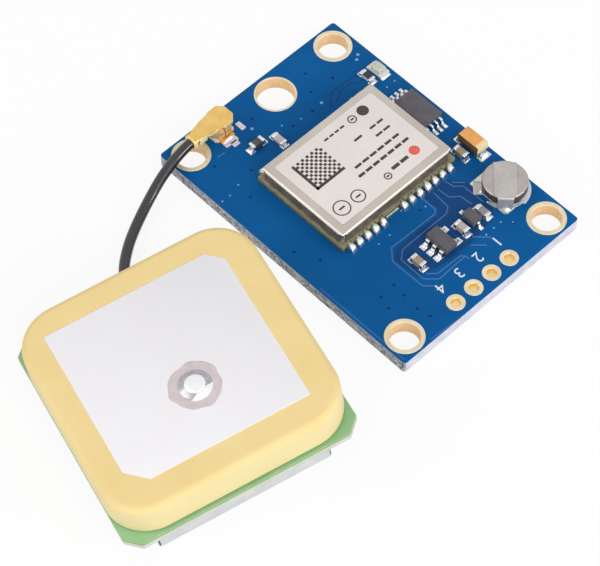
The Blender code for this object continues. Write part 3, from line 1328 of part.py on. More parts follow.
def build_antenna_underside(place, board_bottom):
    """Amplifier and filter under the antenna board, and the solder joint of the lead."""
    filter_u = ANTENNA_CAN_SHEET + ANTENNA_FILTER_WALL_GAP + ANTENNA_FILTER_SIDE / 2 - ANTENNA_CAN_LEFT
    amplifier_u = filter_u + ANTENNA_FILTER_SIDE / 2 + AMPLIFIER_FILTER_GAP + AMPLIFIER_LENGTH / 2
    joint_u = -ANTENNA_CAN_LEFT - JOINT_CAN_GAP - JOINT_WIDTH / 2
    amplifier = (AMPLIFIER_LENGTH, AMPLIFIER_WIDTH, AMPLIFIER_HEIGHT)
    antenna_filter = (ANTENNA_FILTER_SIDE, ANTENNA_FILTER_SIDE, ANTENNA_FILTER_HEIGHT)
    joint = (JOINT_WIDTH, JOINT_LENGTH, JOINT_HEIGHT)
    pieces = (
        ("antenna_amplifier", amplifier, amplifier_u, ANTENNA_FILTER_V, PACKAGE_EDGE, "black_resin"),
        ("antenna_filter", antenna_filter, filter_u, ANTENNA_FILTER_V, PACKAGE_EDGE, "steel"),
        ("lead_joint", joint, joint_u, JOINT_V, JOINT_EDGE, "solder"),
    )
    for name, size, u, v, edge, finish in pieces:
        mesh = block_mesh(name, [(size, (0.0, 0.0, -size[2] / 2))])
        part = add_part(name, mesh, finish, (u, v, board_bottom - SEAT_GAP), parent=place)
        soften(part, edge)


# Antenna lead

def lead_route():
    """Route of the lead: out of the crimp, down to the floor, and up to its solder joint."""
    return [
        Vector((socket_x(), SOCKET_Y - LEAD_START, lead_height())),
        Vector((-15.7, -9.9, 2.93)) * MM,
        Vector((-15.47, -12.0, 2.72)) * MM,
        Vector((-15.1, -14.3, 2.05)) * MM,
        Vector((-14.4, -16.8, 1.2)) * MM,
        Vector((-13.25, -19.6, 0.68)) * MM,
        Vector((-11.95, -21.9, 0.58)) * MM,
        Vector((-10.3, -23.95, 0.575)) * MM,
        Vector((-8.5, -25.3, 0.575)) * MM,
        Vector((-6.4, -25.65, 0.6)) * MM,
        Vector((-4.6, -24.75, 0.85)) * MM,
        Vector((-3.6, -23.0, 1.65)) * MM,
        Vector((-3.1, -21.2, 2.85)) * MM,
        Vector((-2.73, -19.5, 3.8)) * MM,
    ]


def curve_point(before, start, end, after, share):
    """Point of a smooth curve from start to end (a cubic through its neighbours)."""
    square = share * share
    cube = square * share
    return 0.5 * (
        2 * start
        + (end - before) * share
        + (2 * before - 5 * start + 4 * end - after) * square
        + (3 * start - 3 * end + after - before) * cube
    )


def smooth_points(route, step):
    """Points at even spacing along a smooth curve through the route."""
    ends = [2 * route[0] - route[1]] + route + [2 * route[-1] - route[-2]]
    fine = []
    for index in range(len(route) - 1):
        before, start, end, after = ends[index:index + 4]
        shares = [step / CURVE_STEPS for step in range(CURVE_STEPS)]
        fine += [curve_point(before, start, end, after, share) for share in shares]
    fine.append(route[-1])
    lengths = [0.0]
    for start, end in zip(fine, fine[1:]):
        lengths.append(lengths[-1] + (end - start).length)
    count = max(2, round(lengths[-1] / step))
    points = []
    index = 0
    for number in range(count + 1):
        target = lengths[-1] * number / count
        while index < len(fine) - 2 and lengths[index + 1] < target:
            index += 1
        share = (target - lengths[index]) / (lengths[index + 1] - lengths[index])
        points.append(fine[index].lerp(fine[index + 1], share))
    return points


def build_lead():
    """Thin coaxial lead between the plug and the antenna board."""
    add_tube("antenna_lead", smooth_points(lead_route(), LEAD_POINT_STEP), LEAD_RADIUS, "black_jacket")


def main():
    """Build every sub-part."""
    build_board()
    build_module()
    build_chips()
    build_packages()
    build_tantalum()
    build_cell()
    build_socket()
    build_plug()
    build_antenna()
    build_lead()


main()
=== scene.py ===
"""Looks of a small satellite positioning board with a patch antenna on a lead.

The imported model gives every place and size. This script lays finer surfaces
over its faceted solids, gives each surface its finish, lays the antenna's
lead, and sets up the floor, the light and the camera. Its own unit is the
millimetre.
"""
import json
import logging
from dataclasses import dataclass, field, replace
from enum import Enum
from math import cos, pi, radians, sin

import bmesh
import bpy
import numpy as np
from mathutils import Matrix, Vector
from mathutils.geometry import tessellate_polygon


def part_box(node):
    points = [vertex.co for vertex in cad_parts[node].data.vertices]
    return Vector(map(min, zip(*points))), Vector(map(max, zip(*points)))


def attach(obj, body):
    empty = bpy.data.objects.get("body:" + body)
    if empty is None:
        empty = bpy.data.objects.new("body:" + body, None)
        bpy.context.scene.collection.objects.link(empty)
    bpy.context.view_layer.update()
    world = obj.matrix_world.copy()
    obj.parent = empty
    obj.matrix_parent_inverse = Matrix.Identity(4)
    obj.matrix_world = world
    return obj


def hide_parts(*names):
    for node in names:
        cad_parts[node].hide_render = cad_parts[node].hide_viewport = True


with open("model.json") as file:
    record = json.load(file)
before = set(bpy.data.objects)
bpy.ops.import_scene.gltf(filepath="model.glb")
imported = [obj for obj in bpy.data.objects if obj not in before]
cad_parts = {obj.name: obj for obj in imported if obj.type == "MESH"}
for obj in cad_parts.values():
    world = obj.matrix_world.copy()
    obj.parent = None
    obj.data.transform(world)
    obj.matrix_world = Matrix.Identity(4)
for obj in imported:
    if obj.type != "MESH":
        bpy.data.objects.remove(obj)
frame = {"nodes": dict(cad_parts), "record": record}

Array = np.ndarray
Socket = bpy.types.NodeSocket
MM = 0.001
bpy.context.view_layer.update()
LOG = logging.getLogger("positioning_board")
ARC_STEPS = 8
ROUND_STEPS = 72
LEAST_RADIUS_SHARE = 0.02
MERGE_DISTANCE = 2e-7
SMOOTH_ANGLE = radians(38)
RIGHT, AHEAD, UP = np.eye(3)


class Slot(Enum):
    """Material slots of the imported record."""

    MASK = "board_mask"
    GOLD = "gold_plating"
    LAMINATE = "module_laminate"
    SHIELD = "shield_sheet"
    LABEL = "label_film"
    SOLDER = "solder"
    RESIN = "black_resin"
    WHITE = "white_plastic"
    CLEAR = "clear_resin"
    TAN = "tan_ceramic"
    PALE = "pale_ceramic"
    FERRITE = "grey_ferrite"
    ORANGE = "orange_resin"
    STEEL = "steel"
    SEAL_AND_PAINTED_SHADE = "grey_seal"
    JACKET = "black_jacket"
    CERAMIC = "yellow_ceramic"
    SILVER = "silver_film"
    TIN = "tin_plate"
    TAPE = "tape"
    GREEN = "green_laminate"


# Shapes as whole arrays

@dataclass(frozen=True)
class Surface:
    """Points and faces of a shape, with a finish number for each face."""

    points: Array
    faces: list
    paint: list

    def painted(self, number: int) -> "Surface":
        """Returns the same shape with every face in one finish."""
        return replace(self, paint=[number] * len(self.faces))

    def banded(self, count: int, numbers: list) -> "Surface":
        """Returns a loft with a finish number for each band of faces, its caps as the first and last band."""
        paint = [number for number in numbers for _ in range(count)]
        caps = [numbers[0], numbers[-1]][:len(self.faces) - len(paint)]
        return replace(self, paint=paint + caps)

    def painted_beyond(self, direction: tuple, limit: float, number: int) -> "Surface":
        """Returns the shape with the faces that lie past a limit along a direction in another finish."""
        reach = [self.points[list(face)].mean(axis=0) @ direction for face in self.faces]
        return replace(
            self, paint=[number if value > limit else old for value, old in zip(reach, self.paint)])

    def moved(self, place: "Place") -> "Surface":
        """Returns the shape carried from its own axes to a place."""
        return replace(self, points=place.world(self.points))

    def at(self, x: float, y: float, z: float = 0) -> "Surface":
        """Returns the shape moved along the three axes."""
        return replace(self, points=self.points + (x, y, z))


@dataclass(frozen=True)
class Place:
    """Where a piece's own axes lie: its origin and its three axes as rows."""

    origin: Array
    axes: Array = field(default_factory=lambda: np.eye(3))

    @classmethod
    def at(cls, x: float, y: float, z: float = 0) -> "Place":
        """Returns an unturned place at a point."""
        return cls(np.array([x, y, z]))

    def world(self, points: Array) -> Array:
        """Returns origin plus each point's coordinates times the axes."""
        return self.origin + np.asarray(points) @ self.axes

    def turned(self, angle: float) -> "Place":
        """Returns the place turned about its own third axis by an angle in radians."""
        spin = np.array([[cos(angle), sin(angle), 0], [-sin(angle), cos(angle), 0], [0, 0, 1]])
        return replace(self, axes=spin @ self.axes)

    def shifted(self, offset: Array) -> "Place":
        """Returns the place moved by an offset given in its own axes."""
        return replace(self, origin=self.world(np.asarray(offset, float)))


def joined(*parts: Surface) -> Surface:
    """Puts shapes together in one, each keeping its own points and finishes."""
    starts = np.cumsum([0] + [len(part.points) for part in parts])
    faces = [
        tuple(start + index for index in face) for start, part in zip(starts, parts) for face in part.faces]
    paint = [number for part in parts for number in part.paint]
    return Surface(np.vstack([part.points for part in parts]), faces, paint)


def repeated(shape: Surface, places: list) -> Surface:
    """Puts a copy of a shape at each place."""
    return joined(*(shape.moved(place) for place in places))


def spots(points: tuple, height: float) -> list:
    """Places at points given in millimetres, at one height."""
    return [Place.at(x, y, height) for x, y in points]


def unit(vectors: Array) -> Array:
    """Vectors brought to length 1."""
    return vectors / np.linalg.norm(vectors, axis=-1, keepdims=True)


def full_turn(steps: int) -> Array:
    """Evenly spaced angles round a circle."""
    return np.linspace(0, 2 * pi, steps, endpoint=False)


def stacked(levels: list) -> Array:
    """Rings of a stack, from pairs of a flat outline and the height that it is lifted to."""
    return np.array([np.column_stack([line, np.full(len(line), height)]) for line, height in levels])


def spun(section: list, angle: Array) -> Array:
    """Points (r cos a, r sin a, z) for each radius and height of a section and each angle a."""
    radius, height = np.array(section, float).T[..., None]
    return np.stack([radius * np.cos(angle), radius * np.sin(angle), height + 0.0 * angle], axis=-1)


def four_sides(width: float, length: float) -> list:
    """Sides of a rectangle in turn: a place turned to face each, how far out it lies and how long it is."""
    reaches = ((width / 2, length), (length / 2, width)) * 2
    return [(Place.at(0, 0).turned(0.5 * pi * quarter), *reach) for quarter, reach in enumerate(reaches)]


def grid_faces(rows: int, columns: int, wrap: bool) -> Array:
    """Quads of a grid of points.

    Args:
        rows: Number of rows of points.
        columns: Number of points in a row.
        wrap: Whether the last column joins the first.

    Returns:
        An array of four point numbers for each quad.
    """
    row, column = np.meshgrid(np.arange(rows - 1), np.arange(columns if wrap else columns - 1), indexing="ij")
    here = row * columns + column
    beside = row * columns + (column + 1) % columns
    return np.stack([here, beside, beside + columns, here + columns], axis=-1).reshape(-1, 4)


def loft(rings: Array, capped: bool = True, wrap: bool = True) -> Surface:
    """Skin over a stack of rings, point i of one joined to point i of the next.

    Args:
        rings: Points as levels by points by three.
        capped: Whether the first and last ring are closed by a flat face.
        wrap: Whether each ring is closed on itself.

    Returns:
        The skin as one surface.
    """
    levels, count = rings.shape[:2]
    faces = [tuple(quad) for quad in grid_faces(levels, count, wrap).tolist()]
    if capped:
        faces.append(tuple(range(count - 1, -1, -1)))
        faces.append(tuple(range((levels - 1) * count, levels * count)))
    return Surface(rings.reshape(-1, 3), faces, [0] * len(faces))


def lathe(profile: list, steps: int = ROUND_STEPS, wrap_profile: bool = False) -> Surface:
    """Turned shape: the profile's pairs of radius and height swept once round the third axis."""
    section = profile + profile[:1] if wrap_profile else profile
    capped = not wrap_profile and min(section[0][0], section[-1][0]) > 0
    return loft(spun(section, full_turn(steps)), capped)


def arcs_at(before: Array, corners: Array, after: Array, radius: float, steps: int,
            inset: float = 0) -> Array:
    """Arcs that round each corner between the directions to its two neighbours.

    An arc's centre lies on the corner's bisector, at the radius over the sine
    of the half angle, and its points turn evenly from edge to edge. An inset
    moves both edges inwards, and the arc's centre stays.

    Args:
        before: Point before each corner.
        corners: Corner points.
        after: Point after each corner.
        radius: Radius of every arc.
        steps: Points on each arc.
        inset: Distance inwards, negative for outwards.

    Returns:
        Points as corners by steps by coordinates.
    """
    back, ahead = unit(before - corners), unit(after - corners)
    half = np.arccos(np.clip((back * ahead).sum(axis=1), -1, 1))[:, None] / 2
    middle = unit(back + ahead)
    corners = corners + middle * inset / np.sin(half)
    radius = max(radius - inset, LEAST_RADIUS_SHARE * radius)
    centre = corners + middle * radius / np.sin(half)
    first = corners + back * radius / np.tan(half) - centre
    last = corners + ahead * radius / np.tan(half) - centre
    turn = pi - 2 * half
    share = np.linspace(0, 1, steps)[None, :]
    weights = [(np.sin(part * turn) / np.sin(turn))[..., None] for part in (1 - share, share)]
    return centre[:, None] + weights[0] * first[:, None] + weights[1] * last[:, None]


def rounded_outline(corners: Array, radius: float, inset: float = 0, steps: int = ARC_STEPS) -> Array:
    """Closed flat outline whose corners are arcs, moved inwards all round by an inset."""
    before, after = np.roll(corners, 1, axis=0), np.roll(corners, -1, axis=0)
    return arcs_at(before, corners, after, radius, steps, inset).reshape(-1, 2)


def rounded_path(points: list, radius: float, steps: int = ARC_STEPS) -> Array:
    """Open path whose inner corners are arcs, with its two ends as given.

    Args:
        points: The path's corner points.
        radius: Radius of every arc.
        steps: Points on each arc.

    Returns:
        The path's points.
    """
    path = np.asarray(points, float)
    if len(path) < 3:
        return path
    arcs = arcs_at(path[:-2], path[1:-1], path[2:], radius, steps).reshape(-1, path.shape[1])
    return np.vstack([path[:1], arcs, path[-1:]])


def rectangle(width: float, length: float) -> Array:
    """Four corners of a rectangle about its centre, counter-clockwise."""
    return np.array([[-width, -length], [width, -length], [width, length], [-width, length]]) / 2


def fillet_levels(bottom: float, top: float, low_radius: float, high_radius: float,
                  steps: int = ARC_STEPS) -> list:
    """Insets and heights up a wall whose lower and upper edges are quarter rounds.

    Args:
        bottom: Height of the lower face.
        top: Height of the upper face.
        low_radius: Radius of the lower edge.
        high_radius: Radius of the upper edge.
        steps: Points on each quarter.

    Returns:
        Pairs of inset and height, from the lower face to the upper one.
    """
    turn = np.linspace(0, pi / 2, steps)
    low = [(low_radius * (1 - sin(a)), bottom + low_radius * (1 - cos(a))) for a in turn]
    high = [(high_radius * (1 - cos(a)), top - high_radius * (1 - sin(a))) for a in turn]
    return low + high


def moulded(corners: Array, radius: float, levels: list, steps: int = ARC_STEPS) -> Surface:
    """Solid whose rounded outline is moved in by each level's inset at its height."""
    return loft(
        stacked([(rounded_outline(corners, radius, inset, steps), height) for inset, height in levels]))


def block(size: tuple, corner: float, edge: float, base: float = 0) -> Surface:
    """Block with rounded corners and softened upper and lower edges, standing on a base height."""
    levels = fillet_levels(base, base + size[2], edge, edge, 5)
    return moulded(rectangle(size[0], size[1]), corner, levels, 5)


def tile(width: float, length: float, film: float, level: float) -> Surface:
    """Thin flat mark with square corners, a little narrower at its upper face."""
    levels = [(0, level), (0, level + 0.6 * film), (0.25 * film, level + film)]
    return moulded(rectangle(width, length), 0.02, levels, 2)


def flat_shape(corners: Array, radius: float, level: float, film: float) -> Surface:
    """Thin flat film with a rounded outline of any form, a little sunk in the face that it lies on."""
    outline = rounded_outline(corners, radius, steps=6)
    return loft(stacked([(outline, level - film), (outline, level + film)]))


def cut_square(width: float, length: float, cuts: tuple) -> Array:
    """Corners of a rectangle with chamfers at its four corners, counter-clockwise from low left.

    Args:
        width: Size along the first axis.
        length: Size along the second axis.
        cuts: Chamfer at low left, low right, high right and high left, 0 for none.

    Returns:
        The corners in order.
    """
    x, y = width / 2, length / 2
    points = []
    for sx, sy, cut in ((-1, -1, cuts[0]), (1, -1, cuts[1]), (1, 1, cuts[2]), (-1, 1, cuts[3])):
        pair = [(sx * x, sy * (y - cut)), (sx * (x - cut), sy * y)]
        if sx * sy < 0:
            pair.reverse()
        points += pair if cut > 0.0 else [(sx * x, sy * y)]
    return np.array(points)


def directions(path: Array) -> Array:
    """Unit direction of a path at each of its points."""
    return unit(np.gradient(path, axis=0))


def sweep(path: Array, profile: Array, across: Array) -> Surface:
    """Profile carried along a path.

    Each ring is the path's point, plus the profile's first number along the
    across direction, plus its second along the cross product of the path's
    direction and the across direction.

    Args:
        path: Points of the path.
        profile: Points of the closed section, or one section for each point of the path.
        across: One unit direction, or one for each point.

    Returns:
        The closed solid.
    """
    along = directions(path)
    across = np.broadcast_to(across, along.shape)
    rise = np.cross(along, across)
    sections = np.broadcast_to(profile, (len(path), *profile.shape[-2:]))
    return loft(path[:, None] + sections[..., :1] * across[:, None] + sections[..., 1:] * rise[:, None])


def strip(points: list, width: float, thickness: float, bend: float, across: Array) -> Surface:
    """Bent metal strip with rounded edges, its middle line through the points and rounded at each bend."""
    section = rounded_outline(rectangle(width, thickness), 0.3 * thickness, steps=4)
    return sweep(rounded_path(points, bend), section, across)


def ribbon(points: list, widths: list, thickness: float, bend: float, across: Array) -> Surface:
    """Bent metal strip whose width changes along it.

    The edge rounding keeps its size: across, a section's point lies half the
    width out, less its own distance from the unit section's side times the
    thickness.

    Args:
        points: Corners of the strip's middle line.
        widths: Pairs of share of the length and width.
        thickness: Thickness of the sheet.
        bend: Radius of the middle line at each corner.
        across: Unit direction of the width.

    Returns:
        The closed solid.
    """
    path = evenly_spaced(rounded_path(points, bend), 0.08)
    shares, sizes = np.array(widths).T
    width = np.interp(np.linspace(0, 1, len(path)), shares, sizes)[:, None]
    side, rise = rounded_outline(rectangle(1, 1), 0.3, steps=4).T
    out = np.sign(side) * (0.5 * width - (0.5 - np.abs(side)) * thickness)
    sections = np.stack([out, np.broadcast_to(rise * thickness, out.shape)], axis=-1)
    return sweep(path, sections, across)


def ridge(path: Array, width: float, height: float) -> Surface:
    """Low rounded ridge along a level path, standing up from it."""
    across = np.cross(UP, directions(path))
    turn = np.linspace(0, pi, 7)
    section = np.column_stack([0.5 * width * np.cos(turn), height * np.sin(turn) ** 0.6])
    return sweep(path, section, across)


def flat_track(points: list, width: float, height: float, level: float, bend: float) -> Surface:
    """Raised line on a board's face: a ridge along a path whose corners are rounded by the bend."""
    return ridge(rounded_path(stacked([(points, level)])[0], bend, 5), width, height)


def turned_wall(section: list, start: float, stop: float, steps: int = 28) -> Surface:
    """Closed section of radii and heights swept round the third axis from one angle in degrees to another."""
    return loft(spun(section, np.radians(np.linspace(start, stop, steps))).transpose(1, 0, 2))


def share_grid(rows: int, columns: int) -> list:
    """Grid of two numbers: one from -1 to 1 across the rows, one from 0 to 1 along the columns."""
    return np.meshgrid(np.linspace(-1, 1, rows), np.linspace(0, 1, columns), indexing="ij")


def drafted_levels(bottom: float, top: float, draft: float, edge: float, shares: tuple) -> list:
    """Insets and heights of a moulded body whose faces lean in above and below its parting line."""
    middle = 0.5 * (bottom + top)
    return [
        (draft + edge, bottom), (shares[0] * draft, bottom + edge), (0, middle - 0.02), (0, middle + 0.02),
        (shares[1] * draft, top - edge), (draft + 0.3 * edge, top - 0.3 * edge), (draft + edge, top)]


def height_solid(x: Array, y: Array, z: Array, base: float) -> Surface:
    """Solid between a height field and a flat base.

    Args:
        x: First coordinates on the grid.
        y: Second coordinates on the grid.
        z: Heights on the grid.
        base: Height of the flat underside.

    Returns:
        The closed solid.
    """
    rows, columns = z.shape
    top, low = (np.stack([x, y, height], axis=-1).reshape(-1, 3) for height in (z, np.full_like(z, base)))
    quads = grid_faces(rows, columns, False)
    count = rows * columns
    rim = np.concatenate(
        [np.arange(columns), np.arange(1, rows) * columns + columns - 1,
         np.arange(count - 2, count - columns - 1, -1), np.arange(rows - 2, 0, -1) * columns])
    following = np.roll(rim, -1)
    walls = np.stack([rim, rim + count, following + count, following], axis=-1)
    faces = [tuple(quad) for quad in np.vstack([quads, quads[:, ::-1] + count, walls]).tolist()]
    return Surface(np.vstack([top, low]), faces, [0] * len(faces))


def solder_ramp(width: float, reach: float, rise: float, hollow: float, seed: int) -> Surface:
    """Solder that climbs a metal end from its pad.

    Its height is the rise times (1 - share of the reach) to the hollow power,
    times a round falling off to both sides, with a small seeded waviness.

    Args:
        width: Width across.
        reach: How far it runs out along the second axis.
        rise: Height against the metal end.
        hollow: Power of the fall, above 1 for a hollow face.
        seed: Number that sets the waviness.

    Returns:
        The closed fillet, against the plane of the first and third axes.
    """
    draw = np.random.default_rng(seed)
    side, out = share_grid(13, 13)
    falling = np.clip(1 - out, 0, 1) ** hollow
    rounding = np.clip(1 - np.abs(side) ** (2.5 + 2 * out), 0, 1) ** 0.5
    first, second = draw.uniform(0, 6), draw.uniform(0, 6)
    waves = 1 + 0.10 * np.sin(3.0 * side + first) * np.sin(4.0 * out + second)
    heights = rise * falling * (0.35 + 0.65 * rounding) * waves + 0.06 * rise * rounding
    spread = 1 - 0.18 * out**3
    return height_solid(0.5 * width * side * spread, reach * out * (1 - 0.12 * side**2), heights, -0.02)


def solder_blob(width: float, reach: float, rise: float, seed: int) -> Surface:
    """Solder that fills a half hole and swells out over its pad.

    Its height is the rise times the root of (1 - share of the reach to the
    power 2.6), times a round falling off to both sides, with a small seeded
    waviness. Its sides start at the hole's width and swell to the full one.
    The upper faces, near the hole, carry finish 1 and the lower ones finish 0.

    Args:
        width: Full width across.
        reach: How far it runs out along the second axis.
        rise: Height at the hole.
        seed: Number that sets the waviness.

    Returns:
        The closed drop, with its start at the origin.
    """
    draw = np.random.default_rng(seed)
    side, out = share_grid(15, 17)
    swell = 0.56 + 0.44 * np.sin(np.clip(1.9 * out, 0, 1) * pi / 2) - 0.2 * out**4
    rounding = np.clip(1 - np.abs(side) ** 2.6, 0, 1) ** 0.5
    falling = np.clip(1 - out**2.6, 0, 1) ** 0.5
    size = draw.uniform(0.92, 1.06)
    first, second = draw.uniform(0, 6), draw.uniform(0, 6)
    waves = 1 + 0.05 * np.sin(2.5 * side + first) * np.sin(4.0 * out + second)
    heights = rise * (0.12 + 0.88 * rounding) * falling * waves * size
    shape = height_solid(0.5 * width * side * swell, -0.22 + (reach * size + 0.22) * out, heights, 0)
    quads = grid_faces(*side.shape, False)
    upper = out.reshape(-1)[quads].mean(axis=1) < 0.42
    paint = upper.astype(int).tolist() + [0] * (len(shape.faces) - len(quads))
    return replace(shape, paint=paint)


def plate_skins(outline: Array, holes: list, bottom: float, top: float) -> Surface:
    """Lower and upper face of a flat plate with holes.

    Args:
        outline: Outline of both faces, counter-clockwise.
        holes: Outlines of the holes.
        bottom: Height of the lower face.
        top: Height of the upper face.

    Returns:
        The two faces, in triangles.
    """
    loops = [outline] + holes
    flat = np.vstack(loops)
    triangles = np.array(tessellate_polygon([[Vector((x, y, 0)) for x, y in loop] for loop in loops]))
    faces = [tuple(face) for face in np.vstack([triangles, triangles[:, ::-1] + len(flat)]).tolist()]
    return Surface(np.vstack(stacked([(flat, top), (flat, bottom)])), faces, [0] * len(faces))


def number_shape(body: str, size: float) -> Surface:
    """Plain numeral as a thin solid about its own centre, made a mesh from a text object.

    Args:
        body: The numeral.
        size: Height of the type.

    Returns:
        The numeral, in the plane of the first two axes.
    """
    curve = bpy.data.curves.new("numeral", "FONT")
    curve.body, curve.size, curve.extrude = body, size * MM, 0.012 * MM
    curve.align_x, curve.align_y, curve.resolution_u = "CENTER", "CENTER", 4
    text = bpy.data.objects.new("numeral", curve)
    mesh = bpy.data.meshes.new_from_object(text)
    points = np.empty(3 * len(mesh.vertices))
    mesh.vertices.foreach_get("co", points)
    faces = [tuple(face.vertices) for face in mesh.polygons]
    bpy.data.objects.remove(text)
    bpy.data.curves.remove(curve)
    bpy.data.meshes.remove(mesh)
    return Surface(points.reshape(-1, 3) / MM, faces, [0] * len(faces))


def circle(radius: float, centre: tuple = (0, 0), steps: int = ROUND_STEPS) -> Array:
    """Points of a circle, counter-clockwise."""
    angle = full_turn(steps)
    return np.column_stack([centre[0] + radius * np.cos(angle), centre[1] + radius * np.sin(angle)])


def flat_ring(outer: float, inner: float, bottom: float, top: float, steps: int = 48) -> Surface:
    """Flat ring with softened upper edges."""
    soft = 0.25 * min(top - bottom, outer - inner)
    section = [(inner, bottom), (outer, bottom), (outer, top - soft), (outer - soft, top),
               (inner + soft, top), (inner, top - soft)]
    return lathe(section, steps, wrap_profile=True)


def pillow(radius: float, height: float, base: float = 0, steps: int = 28) -> Surface:
    """Low round drop: its height falls as the square root of one minus the squared share of the radius."""
    turn = np.linspace(0, 1, 7) * pi / 2
    profile = [(radius * cos(a), base + height * sin(a)) for a in turn]
    return lathe([(0, base)] + profile[:-1] + [(0, base + height)], steps)


def evenly_spaced(path: Array, step: float) -> Array:
    """Points along a path, about a step apart."""
    walked = np.concatenate([[0], np.cumsum(np.linalg.norm(np.diff(path, axis=0), axis=1))])
    stations = np.linspace(0, walked[-1], 1 + round(walked[-1] / step))
    return np.column_stack([np.interp(stations, walked, column) for column in path.T])


def smooth_points(points: list, step: float) -> Array:
    """Points of a smooth curve through the given ones, spaced evenly.

    Between two points the curve is the cubic whose slope at each is half the
    way from the point before it to the point after.

    Args:
        points: Points to pass through.
        step: Spacing of the result.

    Returns:
        Evenly spaced points.
    """
    given = np.asarray(points, float)
    wide = np.vstack([2 * given[0] - given[1], given, 2 * given[-1] - given[-2]])
    share = np.linspace(0, 1, 24, endpoint=False)[None, :, None]
    before, start, end, after = (wide[k:len(wide) - 3 + k, None] for k in range(4))
    cubic = 0.5 * (
        2 * start + (end - before) * share + (2 * before - 5 * start + 4 * end - after) * share**2
        + (3 * start - before - 3 * end + after) * share**3)
    return evenly_spaced(np.vstack([cubic.reshape(-1, 3), given[-1:]]), step)


# Finishes

def linear(red: float, green: float, blue: float) -> tuple:
    """Light values of a colour written as 0 to 255 on the screen."""
    screen = np.array([red, green, blue]) / 255.0
    light = np.where(screen <= 0.04045, screen / 12.92, ((screen + 0.055) / 1.055) ** 2.4)
    return (*light.tolist(), 1)


class NodeSheet:
    """A node tree, with short calls that add and join its nodes."""

    def __init__(self, tree: bpy.types.NodeTree) -> None:
        """Keeps the tree that the calls work on."""
        self.tree = tree

    def add(self, kind: str, inputs: dict | None = None, **settings: object) -> bpy.types.Node:
        """Adds a node.

        Args:
            kind: The node's type name.
            inputs: Values or output sockets for its inputs, by name or number.
            **settings: Properties of the node.

        Returns:
            The new node.
        """
        node = self.tree.nodes.new(kind)
        for name, value in settings.items():
            setattr(node, name, value)
        for name, value in (inputs or {}).items():
            if isinstance(value, Socket):
                self.join(value, node.inputs[name])
            else:
                node.inputs[name].default_value = value
        return node

    def join(self, output: Socket, socket: Socket) -> None:
        """Joins an output to an input."""
        self.tree.links.new(output, socket)

    def mix(self, share: object, first: object, second: object) -> Socket:
        """Mixes two colours by a share and returns the colour's socket."""
        node = self.add("ShaderNodeMix", {0: share, 6: first, 7: second}, data_type="RGBA")
        return node.outputs[2]

    def spread(self, value: object, low: float, high: float, first: float, last: float) -> Socket:
        """Maps a value from one range to another and returns the result's socket."""
        node = self.add(
            "ShaderNodeMapRange", {"Value": value, "From Min": low, "From Max": high, "To Min": first,
             "To Max": last})
        return node.outputs[0]

    def maths(self, operation: str, first: object, second: object = 0) -> Socket:
        """Works out one sum of two values and returns its socket."""
        node = self.add("ShaderNodeMath", {0: first, 1: second}, operation=operation)
        return node.outputs[0]


def new_group(name: str, inputs: tuple, outputs: tuple) -> tuple:
    """Makes an empty shader group with named number sockets, and a vector socket for a position.

    Args:
        name: The group's name.
        inputs: Names of its inputs.
        outputs: Names of its outputs.

    Returns:
        The group's sheet, its input node and its output node.
    """
    group = bpy.data.node_groups.new(name, "ShaderNodeTree")
    for direction, labels in (("INPUT", inputs), ("OUTPUT", outputs)):
        for label in labels:
            kind = "NodeSocketVector" if label == "Position" else "NodeSocketFloat"
            group.interface.new_socket(name=label, in_out=direction, socket_type=kind)
    sheet = NodeSheet(group)
    return sheet, sheet.add("NodeGroupInput").outputs, sheet.add("NodeGroupOutput").inputs


def make_grain_group() -> bpy.types.NodeTree:
    """Grain: a broad cloud and a fine pitting, both from 0 to 1, from the position times a scale."""
    sheet, given, result = new_group(
        "surface_grain", ("Position", "Broad Scale", "Fine Scale"), ("Broad", "Fine"))
    broad, fine = (
        sheet.add("ShaderNodeTexNoise", {"Vector": given["Position"], "Scale": given[scale],
         "Detail": detail}).outputs[0] for scale, detail in (("Broad Scale", 3), ("Fine Scale", 4)))
    sheet.join(sheet.spread(broad, 0.3, 0.7, 0, 1), result["Broad"])
    sheet.join(fine, result["Fine"])
    return sheet.tree


def make_speck_group() -> bpy.types.NodeTree:
    """Specks: a mask of small random cells, those whose random number is under the share."""
    sheet, given, result = new_group("fine_specks", ("Position", "Scale", "Share"), ("Mask",))
    cells = sheet.add("ShaderNodeTexVoronoi", {"Vector": given["Position"], "Scale": given["Scale"]})
    parted = sheet.add("ShaderNodeSeparateColor", {0: cells.outputs["Color"]})
    chosen = sheet.maths("LESS_THAN", parted.outputs[0], given["Share"])
    near = sheet.maths("LESS_THAN", cells.outputs["Distance"], 0.42)
    sheet.join(sheet.maths("MULTIPLY", chosen, near), result["Mask"])
    return sheet.tree


def make_brush_group() -> bpy.types.NodeTree:
    """Brushed lines: fine noise drawn out along the first axis of the position given."""
    sheet, given, result = new_group("brushed_lines", ("Position", "Scale", "Length"), ("Lines",))
    parted = sheet.add("ShaderNodeSeparateXYZ", {0: given["Position"]}).outputs
    drawn = sheet.maths("DIVIDE", parted[0], given["Length"])
    position = sheet.add("ShaderNodeCombineXYZ", {0: drawn, 1: parted[1], 2: parted[2]}).outputs[0]
    lines = sheet.add("ShaderNodeTexNoise", {"Vector": position, "Scale": given["Scale"], "Detail": 2.0})
    sheet.join(lines.outputs[0], result["Lines"])
    return sheet.tree


GRAIN = make_grain_group()
SPECKS = make_speck_group()
BRUSH = make_brush_group()


